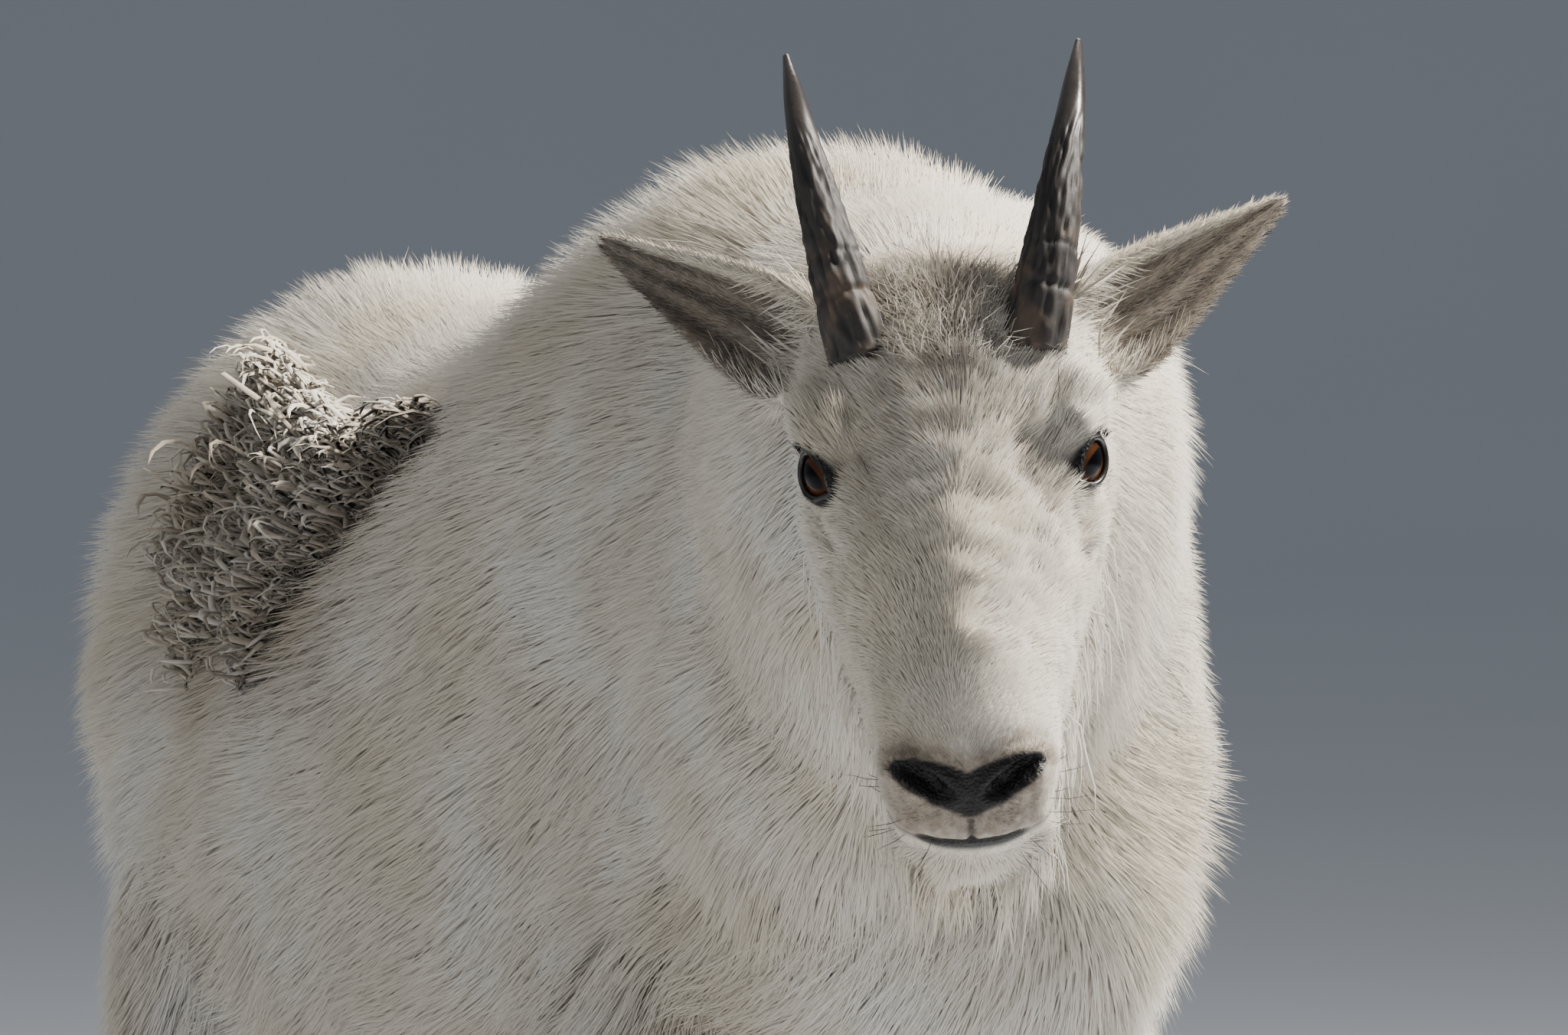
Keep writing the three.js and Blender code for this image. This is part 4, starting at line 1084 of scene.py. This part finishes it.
def face_length(points):
    head = to_head(points)
    s, z = -head[:, 1], head[:, 2]
    long = np.interp(s, [0, 60, 110, 180, 240, 262, 278], [20, 15, 10.5, 8, 6, 3.4, 2.4])
    long = long + 12 * smooth(-z, 40, 80) * (1 - smooth(s, 200, 250))
    long = long + 7 * smooth(-z, 44, 56) * smooth(s, 200, 240)
    long = long * 1.2 * (1 + 0.22 * ripple(points, 15, 330))
    lips = np.abs(z + 2 - mouth_height(s))
    long = long * (1 - 0.72 * (1 - smooth(lips, 7, 13)) * smooth(s, 215, 245))
    return long * (0.5 + 0.5 * smooth(to_nearer_eye(head), EYE_RADIUS + 2, EYE_RADIUS + 14))


bare = is_head & (SOOT_AT < 0.5) & (tri_head[:, 1] < -4)
for name, region, count, seed in (
    ("coat_face", bare & (tri_head[:, 1] < -112), 54000, 301),
    ("coat_brow", bare & (tri_head[:, 1] >= -112), 36000, 306),
):
    looks = (0.4, 0.72, FACE_FUR, "face_coat", face_length, 0.6)
    fur(name, region, HEAD, count, seed, face_lie, *looks)


def strands(name, where, count, seed, lie, length, width, lifts, hang=None, curl=0.0, dusky=None):
    """Longer hair on the head, of a few steps that may hang or curl."""
    count = int(count * max(FEW, 0.5))
    roots, out, _ = scattered(where, count, seed)
    draw = np.random.default_rng(seed + 1)
    swirl = 0.4 * ripple(roots, 16, seed + 2) + draw.normal(0, 0.16, count)
    aim = turned(tangent(lie(roots, out), out), out, swirl)
    long = length * draw.uniform(0.65, 1.2, count) * (1 + 0.2 * ripple(roots, 14, seed + 3))
    steps = paths(aim, out, long, [draw.normal(mean, 0.14, count) for mean in lifts], hang)
    clump = np.stack([ripple(roots, 9, seed + 4 + k) for k in range(3)], -1) * 0.6
    for k in range(len(lifts)):
        stray = draw.normal(0, curl, (count, 3)) + curl * clump * (k - 0.5)
        steps[:, k] += stray * (long / len(lifts))[:, None]
    marks = all_marks(roots, out)
    if dusky is not None:
        marks[:, 0] = np.clip(marks[:, 0] * 0.6 + dusky + draw.normal(0, 0.13, count), 0, 1)
    wide = width * draw.uniform(0.75, 1.25, count)
    sunk, patch = roots - out * 1.2, unwrapped(HEAD, roots)[0]
    return tufts(name, sunk, out, steps, wide, patch, FACE_FUR, 0.6, marks)


h_x, h_y, h_z = tri_head.T
under = tri_head_out[:, 2] < -0.2
beard = is_head & (h_z < -58) & under & (h_y < -215) & (h_y > -272)
throat = is_head & (h_z < -50) & under & (h_y < -70) & (h_y > -225)
nape = is_head & (h_y > -66)
crown = is_head & (h_z > 26) & (h_y > -100) & (h_y < -26) & (np.abs(h_x) < 36)
bases = np.hypot(np.abs(h_x) - HORN_PLACE[0], h_y - HORN_PLACE[1])
crown = crown & (bases > 19)
horn_foot = is_head & (h_z > 20) & (bases < 25) & (bases > 15)
hanging = (0.2, 0.8, 1.3, 1.8)
beard_lie, throat_lie = (toward(HEAD_TURN @ (0, back, -1)) for back in (0.5, 0.7))
strands("beard", beard, 1000, 401, beard_lie, 34, 0.9, (0.7, 0.4, 0.2, 0.1), (0.3, 1.0, 1.8, 2.2))
strands("throat_hair", throat, 2100, 411, throat_lie, 52, 1.3, (0.55, 0.35, 0.2, 0.1), hanging)
strands("nape_hair", nape, 3400, 311, face_lie, 26, 1.1, (0.34, 0.16))
strands("crown_hair", crown, 3600, 421, face_lie, 15, 0.5, (0.75, 0.35, -0.1), None, 0.5, 0.08)
strands("horn_foot_hair", horn_foot, 600, 431, face_lie, 5, 0.45, (0.6, 0.3, 0.0), None, 0.4, 0.1)


def ear_tufts(name, side):
    """The short fur all over an ear, and the long pale hairs at the root of its edges."""
    root, along, opening, across = EARS[name]
    sideways = (tri_head - root) @ across
    mine = is_ear & (h_x * side > 0)
    facing = tri_head_out @ opening

    def places(tri, shift):
        return np.stack([sideways[tri] / EAR_WIDTH * 0.4 + shift, ear_share[tri] * 0.9 + 0.04], -1)

    count = int(11000 * FEW)
    roots, out, tri = scattered(mine, count, 501 + side)
    draw = np.random.default_rng(503 + side)
    spread = (sideways[tri] / 40)[:, None] * across
    aim = tangent((along + spread) @ HEAD_TURN.T, out)
    aim = turned(aim, out, draw.normal(0, 0.2, count))
    long = draw.uniform(4.5, 7.5, count) * np.interp(ear_share[tri], [0, 0.9, 1], [1.2, 1, 0.6])
    steps = paths(aim, out, long, [np.clip(draw.normal(0.22, 0.07, count), 0.08, 0.6)])
    patch = places(tri, np.where(facing[tri] > 0, 0.25, 0.75))
    wide = draw.uniform(0.5, 0.85, count)
    sunk = roots - out * 0.3
    tufts(f"ear_fur_{name}", sunk, out, steps, wide, patch, EAR_FUR, 0.7)

    reach, wide, _ = in_ear(tri_head, EARS[name])
    fringe = mine & (facing > -0.4) & (np.abs(wide) > 0.72) & (reach < 0.36)
    count = int(170 * max(FEW, 0.5))
    dense = np.interp(reach, [0, 0.3, 0.5], [1.6, 0.6, 0.1])
    roots, out, tri = scattered(fringe, count, 511 + side, dense)
    inward = -np.sign(sideways[tri])[:, None] * across
    lie = (inward * 0.8 + along * 0.75 + opening * 0.5) @ HEAD_TURN.T
    aim = turned(unit(lie), out, draw.normal(0, 0.15, count))
    long = np.interp(ear_share[tri], [0, 0.4, 1], [19, 9, 6]) * draw.uniform(0.5, 1.1, count)
    steps = paths(aim, out, long, [draw.normal(mean, 0.15, count) for mean in (0.3, 0.1, -0.1)])
    pale = all_marks(roots, out) * [0.0, 1, 1]
    wide, patch = np.full(count, 0.45), places(tri, 0.5)
    tufts(f"ear_fringe_{name}", roots, out, steps, wide, patch, EAR_FUR, 0.6, pale)


for name, side in SIDES.items():
    ear_tufts(name, side)


# The loose old wool on her right flank, as curled locks below a pale roll. The tables hold how
# far along the body each place is, and its angle round the torso in degrees.
WOOL_REACH = (-34, 250)
WOOL_TOP = ([-40, 0, 100, 200, 262], [142, 140, 135.5, 130.5, 128])
WOOL_FOOT = ([-40, 0, 50, 106, 162, 215, 262], [146, 150, 158, 167, 171, 169, 160])


def wool_locks(name, count, seed, low, high, deep, way, length, width, dusky, pale):
    """Curled locks between two shares of the way down the patch, some of them pale."""
    draw = np.random.default_rng(seed)
    y = draw.uniform(*WOOL_REACH, count)
    shares = np.linspace(0, 1, 200)
    share = np.interp(y, TORSO.axes(shares)[0][:, 1], shares)
    ragged = 0.12 * np.sin(y / 13) + 0.07 * np.sin(y / 5.3 + 1)
    down = draw.uniform(low, high + ragged * (high > 0.5), count)
    angle = np.radians(np.interp(y, *WOOL_TOP) * (1 - down) + np.interp(y, *WOOL_FOOT) * down)
    roots = TORSO.point(share, angle, -deep * draw.uniform(0.5, 1.1, count))
    over = TORSO.point(share, angle + 0.02) - roots
    onward = TORSO.point(share + 0.02, angle) - roots
    out = unit(np.cross(over, onward))
    middle = TORSO.axes(share)[0][:, :3]
    out = out * np.sign(((roots - middle) * out).sum(-1, keepdims=True))
    aim = turned(tangent(np.broadcast_to(way, roots.shape), out), out, draw.normal(0, 0.6, count))
    side = np.cross(out, aim)
    long = length * draw.uniform(0.55, 1.0, count)
    long = long * (1.15 + 0.5 * ripple(roots, 20, seed + 4))
    turn = draw.uniform(0.45, 1.5, count) * draw.choice([-1, 1], count)
    phase = draw.uniform(0, 6.3, count)
    steps = []
    for k, lift in enumerate((1.0, 0.5, 0.3, 0.0, -0.4, -0.6)):
        bend = turn * k + phase
        curl = aim * np.cos(bend)[:, None] + side * np.sin(bend)[:, None]
        steps.append(unit(curl + out * lift) * (long / 6)[:, None])
    marks = markings(roots)
    light_ones = draw.uniform(0, 1, count) < pale * (1 + 1.4 * ripple(roots, 16, seed + 2))
    marks[:, 0] = np.where(light_ones, 0.03, np.clip(dusky + draw.normal(0, 0.14, count), 0, 1))
    marks[:, 1] = np.clip(np.where(light_ones, 0.1, 0.35) + draw.normal(0, 0.1, count), 0, 1)
    wide = width * draw.uniform(0.5, 1.25, count) * (1 + 0.3 * ripple(roots, 14, seed + 6))
    steps, patch = np.stack(steps, 1), unwrapped(TORSO, roots)[0]
    tufts(name, roots, out, steps, wide, patch, BODY_FUR, 0.35, marks)


wool_locks("old_wool", 2450, 601, 0.06, 1.0, 11.0, (0, 0.4, -1.0), 36, 3.4, 0.55, 0.26)
wool_locks("wool_roll", 1450, 611, -0.05, 0.17, 9.0, (0, -1.0, -0.5), 28, 3.2, 0.12, 0.66)


# Horns: rough, fissured bark below, smooth and shiny towards the tips.
def horn_form(side):
    lean, sweep = math.radians(50), math.radians(54)
    place = np.array(HORN_PLACE) * [side, 1, 1]
    steps = 8
    rows = []
    for i in range(steps + 1):
        share = i / steps
        back = lean + sweep * share
        out = side * math.radians(14 - 10 * share)
        radius = HORN_BASE / 2 * (1 - 0.93 * share**1.08) + 0.6
        rows.append([*place, radius, radius * 1.1, radius * 1.1, 0, 2])
        way = [math.sin(out), math.sin(back) * math.cos(out), math.cos(back) * math.cos(out)]
        place = place + np.array(way) * (HORN_LENGTH + 14) / steps
    return Form(rows, (0, 1, 0))


def horn_material():
    made, paint, shader = new_material("horn", Specular_IOR_Level=0.5)
    share = paint.mark("share", 2)
    fissure = paint.mark("marks", 1).parts()[0]
    streak = paint.noise(140.0, 4.0, 0.6)
    patchy = paint.noise(60.0, 3.0).clamped(0.45, 0.62)
    base = streak.between((0.016, 0.013, 0.012), (0.046, 0.038, 0.033))
    low = share.clamped(0.12, 0.55, 1.0, 0.0)
    base = base.mixed((0.16, 0.10, 0.06, 1), patchy * low * 0.45)
    # painted shade: the fissures cut into the bark are painted near black
    base = base.mixed((0.008, 0.006, 0.005, 1), fissure * 0.85)
    rough = share.clamped(0.5, 0.8, 0.62, 0.22)
    feed(paint, shader, Base_Color=base, Roughness=rough, Normal=bumped(paint, streak, 0.0006, 0.4))
    return made


HORN = horn_material()
for name, side in SIDES.items():
    form = horn_form(side)
    rings, around = 160, 64
    share = np.linspace(0, 1, rings)[:, None]
    angle = round_angles(around)[None]
    grain = [np.cos(angle) * 14 + 0 * share, np.sin(angle) * 14 + 0 * share, share * 60 + 0 * angle]
    grain = np.stack(grain, -1)
    crack = 1 - np.abs(ripple(grain * [1, 1, 0.35], 8.5, 71 + side))
    crack = smooth(crack, 0.55, 1.0)
    chip = ripple(grain, 4, 73 + side, 24) * 0.34
    chip += ripple(grain * [1, 1, 0.5], 2.2, 75 + side, 24) * 0.2
    rough = 1 - smooth(share, 0.5, 0.72)
    ring = hill((share - 0.16) / 0.012) * 0.9 + 0.5 * hill((share - 0.27) / 0.01)
    grow = rough * (chip - crack * 1.1) - ring - 0.1
    points = form.point(share + 0 * angle, angle + 0 * share, grow)
    here, along, _, _ = form.axes(np.array([0.0, 1.0]))
    surface = closed(points, here[0, :3] - along[0] * 7, here[1, :3] + along[1] * 0.7)
    horn = piece(f"horn_bark_{name}", *posed(surface), HORN)
    marks = np.zeros((rings * around + 2, 3))
    marks[:-2, 0] = (crack * rough).ravel()
    shares = np.concatenate([np.broadcast_to(share, (rings, around)).ravel(), [0, 1]])
    give_marks(horn, marks, shares)
    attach(horn, "root")
    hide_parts(f"horn_{name}")


# Eyes: a dark amber iris, a level pupil, a clear front, and black rims with lashes.
def eye_material(name):
    made, paint, shader = new_material(
        f"eye_{name}", Coat_Weight=0.04, Coat_Roughness=0.03, Specular_IOR_Level=0.07
    )
    wide, high, _ = paint.mark("marks", 1).parts()
    from_middle = paint.mark("share", 2)
    streaks = paint.noise(1500.0, 3.0)
    iris = streaks.between((0.030, 0.011, 0.005), (0.090, 0.032, 0.012))
    iris = iris.mixed((0.02, 0.008, 0.004, 1), from_middle.clamped(0.52, 0.72))
    bar = (wide * wide * 3.4 + high * high * 14.0).clamped(0.7, 1.15, 1.0, 0.0)
    base = iris.mixed((0.002, 0.002, 0.003, 1), bar)
    feed(paint, shader, Base_Color=base, Roughness=from_middle.clamped(0.0, 1.0, 0.1, 0.3))
    return made


RIM, rim_paint, rim_shader = new_material("lid_rim", Specular_IOR_Level=0.5)
wet = rim_paint.noise(900.0, 2.0)
rim_colour = wet.between((0.008, 0.006, 0.006), (0.035, 0.026, 0.022))
feed(rim_paint, rim_shader, Base_Color=rim_colour, Roughness=wet * 0.2 + 0.25)
BLACK_HAIR, hair_paint, hair_shader = new_material("dark_hair", Specular_IOR_Level=0.4)
sheen = hair_paint.noise(500.0, 2.0)
hair_colour = sheen.between((0.01, 0.008, 0.007), (0.05, 0.04, 0.03))
feed(hair_paint, hair_shader, Base_Color=hair_colour, Roughness=sheen * 0.2 + 0.4)

for name, side in SIDES.items():
    look, along, across = eye_axes(side)
    turn = np.stack([along, across, look], -1)
    shape, fall = sphere_grid(64, 96)
    radius = EYE_RADIUS - 0.05 + 0.25 * (1 - smooth(fall, 0.45, 0.75))
    points, faces = closed(shape * radius[..., None], POLE * (EYE_RADIUS + 0.2), -POLE * EYE_RADIUS)
    placed = to_body(points @ turn.T + eye_place(side))
    eye = piece(f"eyeball_{name}", placed, faces, eye_material(name))
    facing = np.concatenate([np.broadcast_to(fall, (64, 96)).ravel(), [0, np.pi]])
    give_marks(eye, points / EYE_RADIUS, facing / 1.3)
    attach(eye, "root")
    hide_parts(f"eye_{name}")
    ring = lid_ring(side, 96, 0.9, 0.1)
    on_ball = eye_place(side) + unit(ring - eye_place(side)) * (EYE_RADIUS + 1.5)
    heading = unit(np.roll(on_ball, -1, 0) - np.roll(on_ball, 1, 0))
    outward = unit(on_ball - eye_place(side))
    sideways = np.cross(heading, outward)
    turns = round_angles(12)[None, :, None]
    circle = np.cos(turns) * outward[:, None] + np.sin(turns) * sideways[:, None]
    rim = on_ball[:, None] + 1.25 * circle
    corner = np.arange(96 * 12).reshape(96, 12)
    after, ahead = np.roll(corner, -1, 1), np.roll(corner, -1, 0)
    quads = np.stack([corner, after, np.roll(ahead, -1, 1), ahead], -1).reshape(-1, 4)
    lid = piece(f"lid_rim_{name}", to_body(rim.reshape(-1, 3)), [quads], RIM)
    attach(lid, "root")
    draw = np.random.default_rng(700 + side)
    upper = np.where((on_ball - eye_place(side)) @ across * np.sign(across[2]) > 1)[0]
    picks = draw.choice(upper, 90)
    roots = on_ball[picks] + outward[picks] * 0.8
    away = unit(outward[picks] + 0.9 * across * np.sign(across[2]) + draw.normal(0, 0.15, (90, 3)))
    long = draw.uniform(5, 9, 90)[:, None]
    steps = np.stack([away * long / 2, unit(away + DOWN @ HEAD_TURN * 0.6) * long / 2], 1)
    patch = np.stack([picks / 96 * 0.9 + 0.05, np.full(90, 0.5)], -1)
    roots, steps, away = to_body(roots), steps @ HEAD_TURN.T, away @ HEAD_TURN.T
    tufts(f"lashes_{name}", roots, away, steps, np.full(90, 0.45), patch, BLACK_HAIR)

# A few long dark hairs by the eyes and on the lips.
draw = np.random.default_rng(801)
lips = (h_y < -235) & (h_z < -34) & (h_z > -70) & (np.abs(h_x) > 14)
by_eyes = (eye_gap < EYE_RADIUS + 14) & (tri_head_out[:, 2] > 0.4)
for name, region, count in (("lip_whiskers", lips, 26), ("brow_whiskers", by_eyes, 10)):
    roots, out, _ = scattered(is_head & region, count, 802)
    aim = tangent(face_lie(roots, out), out)
    long = draw.uniform(12, 30, count)
    steps = paths(aim, out, long, [draw.normal(mean, 0.2, count) for mean in (0.9, 0.7, 0.4)])
    patch = unwrapped(HEAD, roots)[0]
    tufts(name, roots, out, steps, np.full(count, 0.32), patch, BLACK_HAIR)


# Hooves: two toes to each foot, with fine growth rings and a worn edge. Each row of the shape,
# from the sole up, is the size and how far the toe lies back, as shares.
TOE_SHAPE = [
    [1.0, 0.0],
    [0.975, 0.015],
    [0.95, 0.03],
    [0.9, 0.06],
    [0.86, 0.09],
    [0.75, 0.13],
    [0.6, 0.16],
]


def toe_surface(x, y, away):
    sides, rings = 48, 26
    level = np.linspace(0, 1, rings)[:, None]
    angle = round_angles(sides)[None]
    size, back = row_at(TOE_SHAPE, level).transpose(2, 0, 1)
    c, s = np.cos(angle), np.sin(angle)
    wide = TOE_WIDTH / 2 * size * (1 - 0.34 * np.maximum(0, -s) ** 2)
    long = HOOF_LENGTH / 2 * size
    groove = 1 + 0.012 * np.sin(level * 46) * smooth(level, 0.05, 0.2)
    inner = np.where(c * away < 0, 0.72, 1.0)
    across = x + away * (1.2 + TOE_WIDTH / 2) + c * wide * inner * groove
    onward = y + s * long * groove + back * HOOF_LENGTH
    points = np.stack([across, onward, level * HOOF_HEIGHT * 0.99 + 0.02 + 0 * angle], -1)
    return closed(points, points[0].mean(0), points[-1].mean(0))


def hoof_material():
    made, paint, shader = new_material("hoof", Specular_IOR_Level=0.45)
    grain = paint.noise(220.0, 4.0, 0.6, (1.0, 1.0, 0.3))
    rings = paint.noise(420.0, 3.0, 0.5, (0.15, 0.15, 1.0))
    worn = paint.node("ShaderNodeTexCoord", out=3).parts()[2].clamped(0.0, 0.014, 1.0, 0.0)
    base = grain.between((0.020, 0.016, 0.013), (0.085, 0.064, 0.048))
    base = base.mixed((0.20, 0.16, 0.12, 1), worn * 0.6)
    relief = bumped(paint, rings + grain, 0.0008)
    feed(paint, shader, Base_Color=base, Roughness=grain * 0.25 + 0.42, Normal=relief)
    return made


HOOF = hoof_material()
FEET = {"front": (LEG_SPREAD, -249), "hind": (LEG_SPREAD + 6, 293)}
for end, (spread, y) in FEET.items():
    for name, side in SIDES.items():
        for toe, away in (("outer", side), ("inner", -side)):
            hoof = piece(f"toe_{end}_{name}_{toe}", *toe_surface(side * spread, y, away), HOOF)
            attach(hoof, "root")
            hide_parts(f"hoof_{end}_{name}_{toe}")

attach(skin, "root")
flesh = ["head", "lower_jaw", "neck", "torso", "tail", "ear_left", "ear_right"]
for end in FEET:
    flesh += [f"{end}_leg_{part}_{name}" for part in ("upper", "lower") for name in SIDES]
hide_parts(*flesh)


# The studio: a pale floor that curves up far away on all sides, a broad key light and soft fills.
FLOOR_REACH, WALL = 19, 6


def studio():
    """A round floor, level to FLOOR_REACH metres, that rises to a low wall WALL metres up."""
    rise = np.linspace(0.1, np.pi / 2, 14)
    radii = np.concatenate([np.linspace(0.5, FLOOR_REACH, 8), FLOOR_REACH + WALL * np.sin(rise)])
    heights = np.concatenate([np.zeros(8), WALL * (1 - np.cos(rise))])
    angle = round_angles(96)
    rings = [np.outer(radii, turn(angle)) for turn in (np.cos, np.sin)]
    rings.append(np.outer(heights, np.ones(96)))
    corner = np.arange(radii.size * 96).reshape(radii.size, 96)
    after = np.roll(corner, -1, 1)
    quads = np.stack([corner[:-1], corner[1:], after[1:], after[:-1]], -1).reshape(-1, 4)
    middle = np.stack(rings, -1).reshape(-1, 3)
    fan = np.stack([corner[0], after[0], np.full(96, len(middle))], -1)
    made, paint, shader = new_material("studio_floor", Specular_IOR_Level=0.1)
    cloud = paint.noise(0.6, 2.0)
    base = cloud.between((0.60, 0.64, 0.70), (0.64, 0.68, 0.74))
    feed(paint, shader, Base_Color=base, Roughness=cloud * 0.1 + 0.8)
    places = (np.vstack([middle, [0, 0, 0]]) - SHIFT) * 1000
    piece("studio_floor", places, [quads, fan], made)


def light(name, place, target, size, power, tint):
    lamp = bpy.data.lights.new(name, "AREA")
    lamp.shape = "DISK"
    lamp.size = size
    lamp.energy = power
    lamp.color = tint
    made = bpy.data.objects.new(name, lamp)
    bpy.context.collection.objects.link(made)
    made.location = place
    made.rotation_euler = (Vector(target) - Vector(place)).to_track_quat("-Z", "Y").to_euler()


studio()
middle = in_scene(np.array([-60.0, -300.0, 720.0]))
for name, right, ahead, high, size, power, tint in (
    ("key", 2.5, 0.55, 2.8, 0.8, 500, (1.0, 0.95, 0.87)),
    ("fill", -2.6, -2.2, 0.8, 2.0, 14, (0.95, 0.97, 1.0)),
    ("rim", 0.6, 3.0, 2.6, 1.6, 70, (1.0, 0.97, 0.92)),
):
    place = middle + VIEW_RIGHT * right + VIEW_AHEAD * ahead - DOWN * high
    light(name, place, middle, size, power, tint)
world = bpy.data.worlds.new("studio")
bpy.context.scene.world = world
world.use_nodes = True
sky = world.node_tree.nodes["Background"]
sky.inputs["Color"].default_value = (0.93, 0.96, 1.0, 1)
sky.inputs["Strength"].default_value = 0.26
